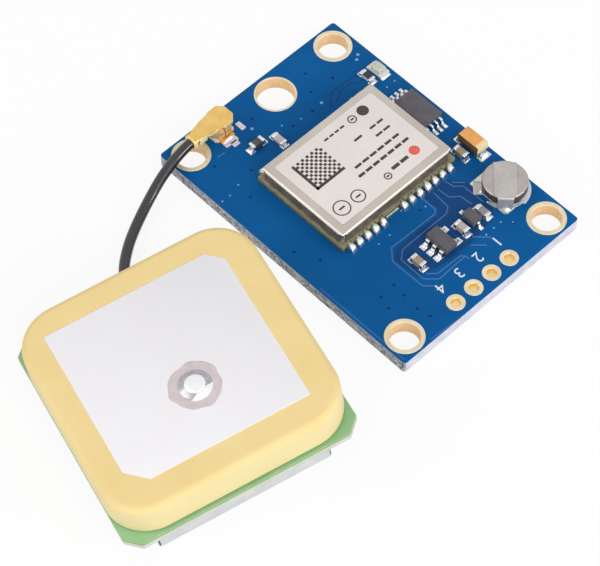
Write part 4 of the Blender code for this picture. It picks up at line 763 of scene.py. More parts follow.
@dataclass(frozen=True)
class Finish:
    """A surface's finish: two close colours in clouds, a roughness and a fine pitting.

    Sizes are in millimetres: how wide the clouds and the pits are, and how deep the pits.
    """

    name: str
    colour: tuple
    shade: tuple
    rough: float
    rough_spread: float = 0.06
    metallic: float = 0.0
    cloud: float = 2.0
    pit: float = 0.12
    depth: float = 0.004
    clear: float = 0.0
    specular: float = 0.5
    speck_colour: tuple | None = None
    speck_size: float = 0.1
    speck_share: float = 0.1
    brushed: float = 0.0

    def variant(self, name: str, colour: tuple, shade: tuple, **changes: float) -> "Finish":
        """Returns a finish like this one, with its own name and colours and the changes given."""
        return replace(self, name=name, colour=colour, shade=shade, **changes)

    def material(self) -> bpy.types.Material:
        """Returns the finish's material, made the first time it is asked for."""
        known = bpy.data.materials.get(self.name)
        if known is not None:
            return known
        material = bpy.data.materials.new(self.name)
        material.use_nodes = True
        sheet = NodeSheet(material.node_tree)
        sockets = material.node_tree.nodes["Principled BSDF"].inputs
        sockets["Metallic"].default_value = self.metallic
        sockets["Specular IOR Level"].default_value = self.specular
        sockets["Transmission Weight"].default_value = self.clear
        position = sheet.add("ShaderNodeTexCoord").outputs["Object"]
        grain = sheet.add(
            "ShaderNodeGroup", {"Position": position, "Broad Scale": 1.0 / (self.cloud * MM),
             "Fine Scale": 1.0 / (self.pit * MM)}, node_tree=GRAIN).outputs
        colour = sheet.mix(grain["Broad"], linear(*self.colour), linear(*self.shade))
        height = grain["Fine"]
        if self.speck_colour is not None:
            specks = sheet.add(
                "ShaderNodeGroup", {"Position": position, "Scale": 1.0 / (self.speck_size * MM),
                 "Share": self.speck_share}, node_tree=SPECKS)
            colour = sheet.mix(specks.outputs["Mask"], colour, linear(*self.speck_colour))
        if self.brushed > 0.0:
            brush = sheet.add(
                "ShaderNodeGroup", {"Position": position, "Scale": 1.0 / (self.pit * MM),
                 "Length": self.brushed}, node_tree=BRUSH)
            height = sheet.maths("ADD", height, brush.outputs["Lines"])
        rough = sheet.spread(
            grain["Fine"], 0.3, 0.7, self.rough - self.rough_spread, self.rough + self.rough_spread)
        bump = sheet.add("ShaderNodeBump", {"Height": height, "Strength": 1, "Distance": self.depth * MM})
        sheet.join(colour, sockets["Base Color"])
        sheet.join(rough, sockets["Roughness"])
        sheet.join(bump.outputs[0], sockets["Normal"])
        return material


MASK = Finish(
    "blue_mask", (4, 92, 156), (3, 85, 148), 0.42, 0.05, cloud=6, pit=0.25, depth=0.002, specular=0.1)
DARK_MASK = MASK.variant("blue_mask_over_bare_board", (24, 74, 128), (20, 68, 120))
TRACK_MASK = MASK.variant("blue_mask_over_track", (78, 122, 180), (64, 108, 170), specular=0.2)
VIA_MASK = MASK.variant("blue_mask_in_via", (6, 56, 114), (6, 48, 104))
# Pale blue copy of the mask: painted glints on the board.
GLINT = MASK.variant("via_painted_glint", (150, 186, 220), (120, 162, 204), specular=0.4)
CUT_EDGE = Finish(
    "cut_laminate_edge", (198, 198, 204), (112, 114, 124), 0.6, 0.1, cloud=0.45, pit=0.1, depth=0.012,
    specular=0.25, speck_colour=(74, 76, 86), speck_size=0.32, speck_share=0.3)
EDGE_BAND = Finish(
    "pale_laminate_band", (170, 182, 194), (134, 148, 164), 0.5, 0.08, cloud=0.7, pit=0.08, depth=0.006,
    specular=0.3)
SMOOTH_EDGE = Finish(
    "routed_laminate_edge", (212, 212, 222), (190, 191, 206), 0.5, 0.06, cloud=1.2, pit=0.1, depth=0.004,
    specular=0.3)
GOLD = Finish(
    "gold_plating_finish", (235, 190, 118), (222, 172, 98), 0.3, 0.08, 1, cloud=1.2, pit=0.08, depth=0.003)
PLUG_GOLD = GOLD.variant("plug_gold", (236, 200, 124), (226, 184, 104), rough=0.34, metallic=0.85)
# Near-white copy of the gold: a painted highlight on the plug's folds, crimp bands and the side of its top.
GOLD_PAINTED_HIGHLIGHT = GOLD.variant(
    "gold_fold_painted_highlight", (255, 238, 176), (250, 226, 154), rough=0.5, metallic=0.1, depth=0.001)
SKIRT_GOLD = GOLD.variant(
    "satin_gold_skirt", (236, 204, 146), (216, 178, 114), rough=0.42, metallic=0.4, depth=0.001)
RING_GOLD = GOLD.variant("pale_gold_ring", (238, 224, 194), (224, 208, 174), rough=0.4, metallic=0.45)
BARREL_GOLD = GOLD.variant("gold_hole_wall", (238, 208, 162), (228, 192, 140), rough=0.45, metallic=0.15)
PIN_HOLE_GOLD = BARREL_GOLD.variant(
    "gold_pin_hole_wall", (255, 228, 162), (255, 220, 146), metallic=0.9, rough=0.32)
SHIELD = Finish(
    "shield_sheet_finish", (206, 198, 188), (190, 181, 172), 0.32, 0.05, 1, cloud=5, pit=0.05, depth=0.0006,
    brushed=20)
# Darker brown copy of the shield sheet: painted shade on the can's walls.
SHIELD_WALL_PAINTED_SHADE = SHIELD.variant(
    "shield_wall_painted_shade", (130, 118, 99), (100, 90, 75), metallic=0.35, rough=0.46, cloud=1)
# Near-white copy of the shield sheet: a painted highlight along the can's bends.
SHIELD_PAINTED_HIGHLIGHT = SHIELD.variant("shield_bend_painted_highlight", (250, 243, 230), (238, 230, 216), rough=0.42, metallic=0.25)
SHIELD_SEAM = SHIELD.variant("shield_corner", (232, 226, 218), (214, 208, 200), rough=0.24)
LABEL = Finish(
    "printed_field", (235, 227, 222), (230, 221, 217), 0.5, 0.05, cloud=4, pit=0.06, depth=0.001,
    specular=0.3)
PRINT = Finish("dark_print", (62, 58, 56), (74, 70, 68), 0.55, cloud=0.3, pit=0.05, depth=0.001, specular=0.3)
RED_PRINT = PRINT.variant("red_print", (232, 110, 98), (222, 98, 88))
SOLDER = Finish(
    "reflowed_solder", (226, 228, 230), (200, 203, 206), 0.24, 0.1, 1, cloud=0.4, pit=0.06, depth=0.006)
TINTED_SOLDER = SOLDER.variant(
    "solder_in_half_hole", (198, 204, 178), (152, 158, 128), rough=0.34, metallic=0.7)
FOOT_SOLDER = SOLDER.variant(
    "solder_at_shield_foot", (152, 140, 120), (96, 88, 72), rough=0.4, metallic=0.3, cloud=0.9)
PAD_SOLDER = SOLDER.variant("tinned_pad", (226, 228, 222), (196, 200, 196), rough=0.36, metallic=0.6)
SOCKET_SOLDER = SOLDER.variant(
    "socket_pad_solder", (228, 216, 226), (202, 192, 206), rough=0.36, metallic=0.5)
FEED_SOLDER = SOLDER.variant("feed_solder_finish", (184, 182, 186), (162, 160, 165), rough=0.3)
BRIGHT_SOLDER = SOLDER.variant("bright_solder", (246, 246, 248), (236, 236, 240), rough=0.26, metallic=0.6)
# Bright copy of the solder: a painted highlight on one side of the feed ring.
FEED_PAINTED_HIGHLIGHT = replace(BRIGHT_SOLDER, name="feed_painted_highlight", metallic=0.15, rough=0.4)
FLUX_SOLDER = SOLDER.variant("fluxed_solder", (232, 218, 214), (208, 192, 188), metallic=0.5, rough=0.4)
MODULE_BASE = Finish(
    "module_base_laminate", (104, 98, 70), (74, 72, 52), 0.55, cloud=0.6, pit=0.07, depth=0.006,
    speck_colour=(142, 134, 102), speck_size=0.15, speck_share=0.16)
MODULE_TOP = MODULE_BASE.variant("module_base_upper", (158, 162, 130), (126, 130, 100))
CASTELLATION = GOLD.variant("half_hole_plating", (176, 170, 138), (146, 140, 110), metallic=0.6)
RESIN = Finish(
    "moulded_resin", (96, 94, 99), (85, 83, 88), 0.5, 0.06, cloud=0.8, pit=0.04, depth=0.004, specular=0.35)
WHITE_PLASTIC = Finish("white_plastic_finish", (236, 230, 222), (226, 218, 210), 0.45, cloud=0.8)
CLEAR_RESIN = Finish("cloudy_resin", (226, 230, 216), (202, 210, 192), 0.24, cloud=0.5, clear=0.2)
SILK = Finish(
    "white_print", (232, 236, 246), (220, 226, 240), 0.5, cloud=1, pit=0.06, depth=0.002, specular=0.3)
TAN = Finish("tan_ceramic_finish", (168, 152, 124), (150, 136, 112), 0.45, cloud=0.3, pit=0.04)
PALE = Finish("pale_ceramic_finish", (206, 198, 196), (190, 182, 182), 0.45, cloud=0.3, pit=0.04)
PINK_GREY = PALE.variant("pink_grey_ceramic", (196, 178, 174), (180, 163, 160))
WHITE_CERAMIC = PALE.variant("white_ceramic", (228, 226, 224), (216, 214, 212))
DARK_GLAZE = PALE.variant("dark_glaze", (48, 47, 52), (36, 36, 40), rough=0.3)
GREY_GLAZE = PALE.variant("grey_glaze", (150, 148, 152), (132, 130, 136), rough=0.32)
FERRITE = Finish("ferrite_finish", (74, 74, 70), (62, 62, 60), 0.4, cloud=0.3, pit=0.04)
ORANGE = Finish("orange_resin_finish", (238, 172, 98), (228, 158, 84), 0.42, cloud=0.8, pit=0.05)
CREAM = ORANGE.variant("cream_band", (242, 226, 180), (236, 214, 156))
# Dark brown copy of the orange resin: painted shade on one side of the capacitor.
ORANGE_PAINTED_SHADE = ORANGE.variant("orange_resin_painted_shade", (108, 80, 50), (88, 66, 42))
ORANGE_END = ORANGE.variant("orange_resin_end", (236, 140, 100), (224, 124, 84))
STEEL = Finish(
    "satin_steel", (182, 175, 172), (168, 161, 158), 0.34, 0.06, 1, cloud=1, pit=0.05, depth=0.002)
# Dark copy of the steel: painted shade on the cell's side wall.
CELL_SIDE_PAINTED_SHADE = STEEL.variant("cell_side_painted_shade", (112, 104, 100), (88, 82, 79), metallic=0.5, rough=0.42)
STRIP_STEEL = STEEL.variant("strip_steel", (192, 188, 184), (178, 174, 170), rough=0.4, metallic=0.45)
POOL_SOLDER = SOLDER.variant(
    "solder_pool", (228, 234, 224), (176, 184, 170), rough=0.3, metallic=0.4, cloud=0.5)
# Dark grey: the cell's seal, and painted shade in the antenna can's corner slots.
SEAL_AND_PAINTED_SHADE = Finish("dark_seal_and_painted_shade", (70, 70, 72), (58, 58, 60), 0.6)
JACKET = Finish(
    "black_jacket_finish", (30, 28, 30), (22, 21, 23), 0.17, 0.05, cloud=0.8, pit=0.08, depth=0.002,
    specular=0.75)
CERAMIC = Finish(
    "yellow_ceramic_finish", (244, 219, 156), (240, 212, 146), 0.62, 0.06, cloud=5, pit=0.12, depth=0.008,
    specular=0.3)
# Slightly darker, paler copy of the ceramic: painted shade on the block's sides.
CERAMIC_SIDE_PAINTED_SHADE = CERAMIC.variant("ceramic_side_painted_shade", (232, 216, 163), (229, 212, 155))
SILVER = Finish(
    "fired_silver", (241, 241, 245), (242, 238, 241), 0.55, 0.06, cloud=4, pit=0.1, depth=0.004, specular=0.3)
FLUX = SILVER.variant("flux_stain", (218, 207, 206), (206, 193, 193), cloud=0.9)
TIN = Finish(
    "tin_plated_sheet", (216, 218, 219), (202, 204, 206), 0.34, 0.06, 0.7, cloud=1.5, pit=0.1, depth=0.003)
TAPE = Finish("tape_finish", (208, 204, 184), (196, 192, 172), 0.6)
GREEN = Finish(
    "green_mask", (158, 200, 152), (142, 188, 134), 0.34, cloud=3, pit=0.2, depth=0.003, specular=0.3)
GREEN_EDGE = GREEN.variant("green_laminate_edge", (150, 168, 100), (128, 148, 84), rough=0.55)
PALE_EDGE = GREEN.variant("pale_laminate_edge", (204, 208, 202), (190, 196, 186), rough=0.55)
FLOOR = Finish("pale_floor", (255, 255, 255), (254, 254, 254), 0.8, specular=0, cloud=40, pit=2, depth=0)


def linked_object(name: str, data: bpy.types.ID) -> bpy.types.Object:
    """Makes an object and puts it in the scene."""
    made = bpy.data.objects.new(name, data)
    bpy.context.scene.collection.objects.link(made)
    return made


def make_piece(name: str, shape: Surface, finishes: list,
               replaces: tuple = ()) -> bpy.types.Object:
    """Makes one finished piece of the object.

    Args:
        name: The piece's name.
        shape: Its surface, in place.
        finishes: Its finishes, numbered as in the surface's paint.
        replaces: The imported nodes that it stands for.

    Returns:
        The new object.
    """
    mesh = bpy.data.meshes.new(name)
    mesh.from_pydata((shape.points * MM).tolist(), [], shape.faces)
    mesh.polygons.foreach_set("material_index", shape.paint)
    work = bmesh.new()
    work.from_mesh(mesh)
    bmesh.ops.remove_doubles(work, verts=work.verts, dist=MERGE_DISTANCE)
    bmesh.ops.dissolve_degenerate(work, edges=work.edges, dist=MERGE_DISTANCE)
    bmesh.ops.recalc_face_normals(work, faces=work.faces)
    work.to_mesh(mesh)
    work.free()
    mesh.shade_smooth()
    mesh.set_sharp_from_angle(angle=SMOOTH_ANGLE)
    for finish in finishes:
        mesh.materials.append(finish.material())
    piece = linked_object(name, mesh)
    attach(piece, "root")
    if replaces:
        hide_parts(*replaces)
    LOG.info("%s: %d faces", name, len(mesh.polygons))
    return piece


def dress_node(name: str, finish: Finish) -> None:
    """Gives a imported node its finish."""
    node = frame["nodes"][name]
    node.data.materials.clear()
    node.data.materials.append(finish.material())


def node_box(name: str) -> tuple:
    """Lowest corner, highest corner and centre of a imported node, in millimetres."""
    low, high = (np.array(corner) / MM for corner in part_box(name))
    return low, high, (low + high) / 2


# Studio

@dataclass(frozen=True)
class Studio:
    """Floor, lights and the camera at the photograph's angle, in metres and degrees."""

    aim: tuple = (0.002896, -0.012335, 0)
    distance: float = 0.29881
    azimuth: float = 46.0684
    elevation: float = 56.2163
    roll: float = -0.2283
    lens: float = 180.0
    sensor: float = 36.0
    floor_radius: float = 1.6
    light_distance: float = 0.7
    lights: tuple = (
        ("key_light", 72, 34, 0.5, 2.2), ("fill_light", -30, 34, 0.5, 1.3), ("rim_light", 116, 27,
         0.14, 0.8))
    world_level: float = 0.53
    floor_glow: float = 0.88

    def direction(self, azimuth: float, elevation: float) -> Vector:
        """Unit direction from the aim, at an azimuth and an elevation in degrees."""
        turn, rise = radians(azimuth), radians(elevation)
        return Vector((sin(turn) * cos(rise), -cos(turn) * cos(rise), sin(rise)))

    def build_camera(self) -> None:
        """Places the camera on its line and turns it about that line by the roll."""
        data = bpy.data.cameras.new("camera")
        data.lens = self.lens
        data.sensor_width = self.sensor
        data.sensor_fit = "HORIZONTAL"
        data.clip_start = 0.01
        camera = linked_object("camera", data)
        back = self.direction(self.azimuth, self.elevation)
        turn = back.to_track_quat("Z", "Y").to_matrix().to_4x4()
        spot = Vector(self.aim) + back * self.distance
        camera.matrix_world = Matrix.Translation(spot) @ turn @ Matrix.Rotation(radians(self.roll), 4, "Z")
        bpy.context.scene.camera = camera

    def build_floor(self) -> None:
        """Lays a pale round floor under the object, white where the camera or a reflection sees it."""
        floor = bpy.data.meshes.new("floor")
        rim = circle(self.floor_radius, steps=64)
        floor.from_pydata(stacked([(rim, 0)])[0].tolist(), [], [tuple(range(len(rim)))])
        floor.materials.append(self.floor_material())
        linked_object("floor", floor)

    def floor_material(self) -> bpy.types.Material:
        """White floor that glows for the camera and in reflections, and keeps a share of the soft shadow."""
        material = FLOOR.material()
        sheet = NodeSheet(material.node_tree)
        glow = sheet.add("ShaderNodeEmission", {"Strength": 1.0})
        share = sheet.spread(self.seen(sheet), 0, 1, 0, self.floor_glow)
        lit = material.node_tree.nodes["Principled BSDF"].outputs[0]
        blend = sheet.add("ShaderNodeMixShader", {0: share, 1: lit, 2: glow.outputs[0]})
        sheet.join(blend.outputs[0], material.node_tree.nodes["Material Output"].inputs["Surface"])
        return material

    def seen(self, sheet: NodeSheet) -> Socket:
        """Value of 1 or more where the camera, a reflection or clear material looks at the surface."""
        rays = sheet.add("ShaderNodeLightPath")
        seen = sheet.maths("ADD", rays.outputs["Is Camera Ray"], rays.outputs["Is Glossy Ray"])
        return sheet.maths("ADD", seen, rays.outputs["Is Transmission Ray"])

    def build_light(self, name: str, azimuth: float, elevation: float, width: float, power: float) -> None:
        """Adds a square soft light.

        Args:
            name: The light's name.
            azimuth: Where it stands round the object, in degrees, as the camera's.
            elevation: How high it stands, in degrees.
            width: Side of the light, in metres.
            power: Its power, in watts.
        """
        data = bpy.data.lights.new(name, "AREA")
        data.size = width
        data.energy = power
        light = linked_object(name, data)
        back = self.direction(azimuth, elevation)
        light.location = Vector(self.aim) + back * self.light_distance
        light.rotation_mode = "QUATERNION"
        light.rotation_quaternion = back.to_track_quat("Z", "Y")

    def build_world(self) -> None:
        """Lights the scene evenly, and shows white to the camera and in reflections."""
        world = bpy.data.worlds.new("studio_world")
        world.use_nodes = True
        bpy.context.scene.world = world
        sheet = NodeSheet(world.node_tree)
        background = world.node_tree.nodes["Background"]
        background.inputs["Color"].default_value = (1, 1, 1, 1)
        level = sheet.spread(self.seen(sheet), 0, 1, self.world_level, 1)
        sheet.join(level, background.inputs["Strength"])

    def build(self) -> None:
        """Builds the whole studio."""
        self.build_camera()
        self.build_floor()
        self.build_world()
        for light in self.lights:
            self.build_light(*light)
        bpy.context.scene.view_settings.view_transform = "Standard"


# Lead and its plug

@dataclass(frozen=True)
class AntennaLead:
    """Thin coaxial lead from the folded plug on the board to the joint under the antenna."""

    radius: float = 0.565
    route: tuple = (
        (-15.7, -8, 2.925), (-15.7, -9.9, 2.93), (-15.47, -12, 2.72), (-15.1, -14.3, 2.05),
        (-14.4, -16.8, 1.2), (-13.25, -19.6, 0.68), (-11.95, -21.9, 0.58), (-10.3, -23.95, 0.575),
        (-8.5, -25.3, 0.575), (-6.4, -25.65, 0.6), (-4.6, -24.75, 0.85), (-3.6, -23, 1.65),
        (-3.1, -21.2, 2.85), (-2.73, -19.5, 3.8),
    )
    step: float = 0.3
    sides: int = 32
    sheet: float = 0.2
    edge: float = 0.07
    half_outline: tuple = (
        (0.5, -3.7), (0.72, -2.5), (0.98, -1.75), (1.08, -0.42), (1.3, -0.2), (1.3, 0.98), (0.62, 1.62))
    head_fold: tuple = ((1.3, 0.95), (1.3, -0.06))
    neck_fold: tuple = ((1.1, -0.24), (1.07, -1.1), (0.98, -1.75), (0.84, -2.1))
    collar: float = 1.08
    skirt_inner: float = 1.22
    skirt_outer: float = 1.42
    skirt_arcs: tuple = ((-64, -10.5), (-6, 186), (190.5, 244))
    fold_drop: float = 0.46
    slot: float = 0.16
    crimp_outer: float = 0.775
    crimp_bands: tuple = ((-2.05, -3.1), (-3.34, -3.75))
    crimp_neck: tuple = (-3.05, -3.4)
    crimp_flat: float = 0.16
    crimp_reach: float = 171.0
    neck_reach: float = 62.0

    def plug_place(self) -> tuple:
        """Place over the plug's axis at height zero, and the heights of its underside and top."""
        centre = node_box("coax_plug_insulator")[2]
        shell_low, shell_high = node_box("coax_plug_shell")[:2]
        return Place.at(*centre[:2]), shell_low[2], shell_high[2]

    def barrel(self, band: tuple, reach: float, axis_height: float, outer: float) -> Surface:
        """Rolled sheet round the lead, from one place to another along it, open below.

        Its section is an arc of the outer radius and one of the inner radius,
        both reaching the same angle to each side of the top. The outer one
        swells by the squared sine of twice its angle, so its top is nearly flat.

        Args:
            band: Start and end along the plug's second axis, in millimetres.
            reach: Angle to each side of the top, in degrees.
            axis_height: Height of the lead's axis.
            outer: Outer radius.

        Returns:
            The rolled sheet.
        """
        turn = np.radians(np.linspace(-reach, reach, 33))
        inner = self.radius + 0.012
        swell = outer * (1 + self.crimp_flat * np.sin(2 * turn) ** 2 * (np.cos(turn) > 0))
        section = np.vstack(
            [np.column_stack([1.04 * swell * np.sin(turn), swell * np.cos(turn)]),
             np.column_stack([inner * np.sin(turn[::-1]), inner * np.cos(turn[::-1])])])
        first, last = band
        lip = 0.05
        stations = np.array([first, first - lip, last + lip, last])
        grow = np.array([0.96, 1, 1, 0.96])
        across, rise = section.T
        rings = [np.column_stack([across * share, np.full(len(section), spot), axis_height + rise * share])
                 for spot, share in zip(stations, grow)]
        return loft(np.array(rings))

    def side_fold(self, corners: tuple, side: int, top: float) -> Surface:
        """Narrow wall folded down from one edge of the plug's top.

        Args:
            corners: The fold's outer line on the right side, in millimetres.
            side: 1 for the right side, -1 for the left one.
            top: Height of the plug's upper face.

        Returns:
            The fold.
        """
        low, high = top - self.fold_drop, top - 0.5 * self.edge
        flat = [(side * (x - self.sheet / 2), y, (low + high) / 2) for x, y in corners]
        path = rounded_path(flat, 0.12, 5)
        section = rounded_outline(rectangle(self.sheet, high - low), 0.4 * self.sheet, steps=5)
        return sweep(path, section, np.cross(UP, directions(path)))

    def build_plug(self) -> list:
        """Folded plug: flat top, side folds, round skirt, and the barrel crimped on the lead, with a painted
        highlight on the folds, the crimp bands and the top's side.
        """
        place, bottom, top = self.plug_place()
        right = np.array(self.half_outline)
        outline = np.vstack([right, right[::-1] * (-1, 1)])
        under = top - self.sheet
        levels = fillet_levels(under, top, 0.02, self.edge, 5)
        # The top's lower bands, round its side, take the painted highlight.
        plate = moulded(outline, 0.1, levels, 5).banded(5 * len(outline), [1] * 7 + [0] * 2)
        axis_height = top - self.crimp_outer
        neck = self.barrel(self.crimp_neck, self.neck_reach, axis_height, self.crimp_outer - 0.03)
        folds = [
            self.side_fold(fold, side, top) for fold in (self.head_fold, self.neck_fold) for side in (-1, 1)]
        folds += [self.barrel(band, self.crimp_reach, axis_height, self.crimp_outer - 0.02)
                  for band in self.crimp_bands]
        inner, outer, collar, soft = self.skirt_inner, self.skirt_outer, self.collar, 0.05
        shoulder = top - self.fold_drop - self.slot
        section = [
            (inner, bottom + soft), (inner + soft, bottom), (outer - soft, bottom), (outer, bottom + soft),
            (outer, shoulder - 0.14), (outer - 0.09, shoulder), (collar + 0.1, shoulder),
            (collar + 0.1, under + soft), (collar, under + soft), (collar, shoulder - 0.12),
            (inner, shoulder - 0.16)]
        skirt = joined(*(turned_wall(section, first, last) for first, last in self.skirt_arcs))
        # Folds and crimp bands take the painted highlight, their upper faces the plain gold.
        shape = joined(plate, neck, joined(*folds).painted(1).painted_beyond(UP, top - 0.12, 0),
                       skirt.painted(2)).moved(place)
        shell = make_piece(
            "plug_folded_shell", shape, [PLUG_GOLD, GOLD_PAINTED_HIGHLIGHT, SKIRT_GOLD], ("coax_plug_shell",))
        for name, finish in (("coax_plug_insulator", WHITE_PLASTIC), ("coax_plug_contact", GOLD)):
            dress_node(name, finish)
        return [shell, frame["nodes"]["coax_plug_insulator"], frame["nodes"]["coax_plug_contact"]]

    def build(self) -> None:
        plug = self.build_plug()
        path = smooth_points(self.route, self.step)
        along = np.gradient(path, axis=0)
        tube = sweep(path, circle(self.radius, steps=self.sides), unit(np.cross(along, UP)))
        lead = make_piece("lead", tube, [JACKET], ("antenna_lead",))


# Circuit board

def board_top() -> float:
    """Height of the circuit board's upper face."""
    return node_box("circuit_board")[1][2]


@dataclass(frozen=True)
class CircuitBoard:
    """Blue board with plated holes, raised tracks, tented vias and white print."""

    corner_radius: float = 0.35
    chamfer: float = 0.05
    edge_band: float = 0.16
    ring_height: float = 0.04
    wall: float = 0.05
    corner_bore: float = 1.56
    large_bore: float = 2.02
    header_bore: float = 0.5
    platings: tuple = (
        *(f"corner_plating_{number}" for number in range(1, 5)), "large_hole_plating_1",
        *(f"header_plating_{number}" for number in range(1, 5)))
    film: float = 0.008
    track_width: float = 0.14
    track_height: float = 0.022
    bead_width: float = 0.1
    tracks: tuple = (
        ((4.9, 2.9), (6.77, 2.88), (7.12, 2.43), (6.98, -3.61), (8.25, -4.68), (12.35, -4.62),
         (13.42, -3.53)),
        ((5.2, 4.22), (7.41, 4.04), (7.9, 3.33), (7.91, -2.96), (8.7, -3.93), (11.83, -3.98), (12.93, -2.86),
         (12.8, 1)),
        ((5.18, 4.86), (6.68, 4.96), (7.39, 5.85), (8.89, 6)),
        ((4.97, 6.08), (6.07, 6.24), (6.67, 6.95), (9.51, 7.03)),
        ((5.55, 6.45), (6.53, 7.45)),
        ((11.67, 3.11), (12.96, 4.4), (13.5, 4.4)),
        ((12.27, 2.32), (13.39, 3.45)),
        ((11.56, -3.33), (12.36, -2.52), (12.46, 0.72), (13.3, 1.1)),
        ((-13.17, -7.45), (-13.24, -8.38)),
    )
    beads: tuple = (((5.5, -12.1), (17.2, -12.05)), ((17.32, -8.57), (17.59, -4.66)))
    dark_field: tuple = (
        (4.95, 3.15), (6.95, 3.12), (7.45, 2.5), (7.3, -3.3), (8.35, -4.45), (11.3, -4.3), (12, -1.2),
        (12.1, 3.1), (11.7, 5.3), (10.9, 7.2), (6.4, 7.6), (4.95, 6.3))
    dark_gaps: tuple = (
        ((-10.2, 9.7), (-10.9, 9), (-11.1, 5.9), (-10.82, 5.27), (-9.75, 4.48)),
        ((-9.9, 8.75), (-10.53, 8.15), (-10.55, 6.49), (-9.85, 5.32)))
    via_places: tuple = (
        (-14.69, 5.55), (-12.39, 7.18), (-12.62, 4.26), (-14.37, -2.46), (-10.72, 2.67), (-10.75, -0.05),
        (-12.6, -9.36), (-9.69, -7.04), (-7.32, -9.39), (15.39, -6.61), (11.87, -6.73), (10.29, -6.58),
        (13.32, 7.29), (5.76, 1.69), (10.43, -8.49), (11.9, -8.92), (13.87, -6.91), (-12.33, 7.17),
        (-9.1, 8.35), (3.1, -9.7), (0.6, -10.9))
    glint_places: tuple = (
        (-12.32, 10.65), (-10.84, 4.08), (-10.84, 1.14), (-11.57, -0.89), (-13.43, -3.36), (-9.27, -9.22),
        (-8.88, -10.75), (-8.9, -11.79), (-7.6, 11.51), (-7.57, 10.35), (5.78, -2.63), (5.78, -4.17),
        (12.43, 5.48), (12.43, 6.48), (12.48, 4.34), (5.82, 2.43), (4.47, 0.28), (13.27, 7.35))
    via_radius: float = 0.16
    glint_radius: float = 0.1
    cell_print_radius: float = 2.72
    cell_print_arc: tuple = (2, 200)
    glint_mark_places: tuple = ((-12.32, 10.65), (-12.7, 11.2), (-13.43, -3.36), (-10.84, 4.08))
    number_size: float = 1.75
    number_places: tuple = ((13.75, 4.5), (13.75, 1.75), (13.75, -0.95), (13.75, -3.55))

    def bore(self, name: str) -> float:
        """Radius of the hole through a plating, by its name."""
        if name.startswith("corner"):
            return self.corner_bore
        return self.large_bore if name.startswith("large") else self.header_bore

    def outline(self, inset: float = 0) -> Array:
        """Board's outline, moved inwards by an inset."""
        low, high, centre = node_box("circuit_board")
        return rounded_outline(
            rectangle(high[0] - low[0], high[1] - low[1]), self.corner_radius, inset) + centre[:2]

    def build_slab(self) -> None:
        """Board with its holes, mask on both faces and bare laminate at the cut edges."""
        low, high = node_box("circuit_board")[:2]
        holes = [circle(self.bore(name) + self.wall, node_box(name)[2][:2])[::-1] for name in self.platings]
        inner, outer = self.outline(self.chamfer), self.outline()
        skins = plate_skins(inner, holes, low[2], high[2])
        heights = ((inner, low[2]), (outer, low[2] + self.chamfer), (outer, high[2] - self.edge_band),
                   (outer, high[2] - 0.6 * self.chamfer), (inner, high[2]))
        rim = loft(stacked(heights), capped=False).banded(len(outer), [1, 1, 2, 0])
        rim = rim.painted_beyond(RIGHT, high[0] - 0.5 * self.chamfer, 3)
        bores = [loft(stacked([(hole, low[2]), (hole, high[2])]), capped=False).painted(1) for hole in holes]
        make_piece("board_slab", joined(skins, rim, *bores), [MASK, CUT_EDGE, EDGE_BAND, SMOOTH_EDGE],
                   ("circuit_board",))

    def build_plating(self, name: str) -> None:
        """Plated hole: a bright barrel with a paler flat ring at each face.

        Args:
            name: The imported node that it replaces.
        """
        low, high, centre = node_box(name)
        board_low, board_high = node_box("circuit_board")[:2]
        bore = self.bore(name)
        ring = (high[0] - low[0]) / 2
        top, bottom = board_high[2] + self.ring_height, board_low[2]
        soft = min(0.1, 0.3 * (ring - bore))
        turn = np.linspace(0, pi / 2, 5)
        mouth = [(bore + soft * (1 - cos(a)), top - soft * (1 - sin(a))) for a in turn]
        section = [
            (bore, bottom + soft), (bore + soft, bottom), (ring, bottom), (ring, bottom + 0.02),
            (bore + self.wall, bottom + 0.02), (bore + self.wall, board_high[2] - 0.01),
            (ring, board_high[2] - 0.01), (ring, top - 0.02), (ring - 0.02, top)]
        section += mouth[::-1]
        shape = lathe(section, wrap_profile=True).banded(ROUND_STEPS, [1] * 11 + [0] * 3)
        shape = shape.at(*centre[:2])
        barrel = PIN_HOLE_GOLD if bore == self.header_bore else BARREL_GOLD
        make_piece(f"{name}_eyelet", shape, [barrel, RING_GOLD], (name,))

    def build_pour(self) -> None:
        """Copper's outline under the mask: dark bare strips, and the raised tracks that cross them."""
        level = board_top()
        dark = [flat_shape(np.array(self.dark_field), 0.25, level, self.film)]
        dark += [flat_track(np.array(line), 0.2, self.film, level, 0.3) for line in self.dark_gaps]
        make_piece("mask_over_bare_board", joined(*dark), [DARK_MASK])
        runs = ((self.tracks, self.track_width), (self.beads, self.bead_width))
        light = [flat_track(np.array(line), width, self.track_height, level, 0.25)
                 for lines, width in runs for line in lines]
        make_piece("mask_over_tracks", joined(*light), [TRACK_MASK])

    def build_vias(self) -> None:
        """Small tented vias: dark dimples with a low rim, and pin-point painted glints in pale blue."""
        level = board_top()
        dimple = lathe([(0, 0.004), (0.45 * self.via_radius, 0.006), (0.8 * self.via_radius, 0.02),
                        (self.via_radius, 0.008), (1.05 * self.via_radius, -0.01)], 20)
        # Small and larger pale drops are painted glints.
        glint = pillow(self.glint_radius, 0.03, -0.005, 12)
        mark = pillow(1.8 * self.glint_radius, 0.03, -0.005, 16)
        shape = joined(
            repeated(dimple, spots(self.via_places, level)).painted(0),
            repeated(glint, spots(self.glint_places, level)).painted(1),
            repeated(mark, spots(self.glint_mark_places, level)).painted(1))
        make_piece("board_vias", shape, [VIA_MASK, GLINT])

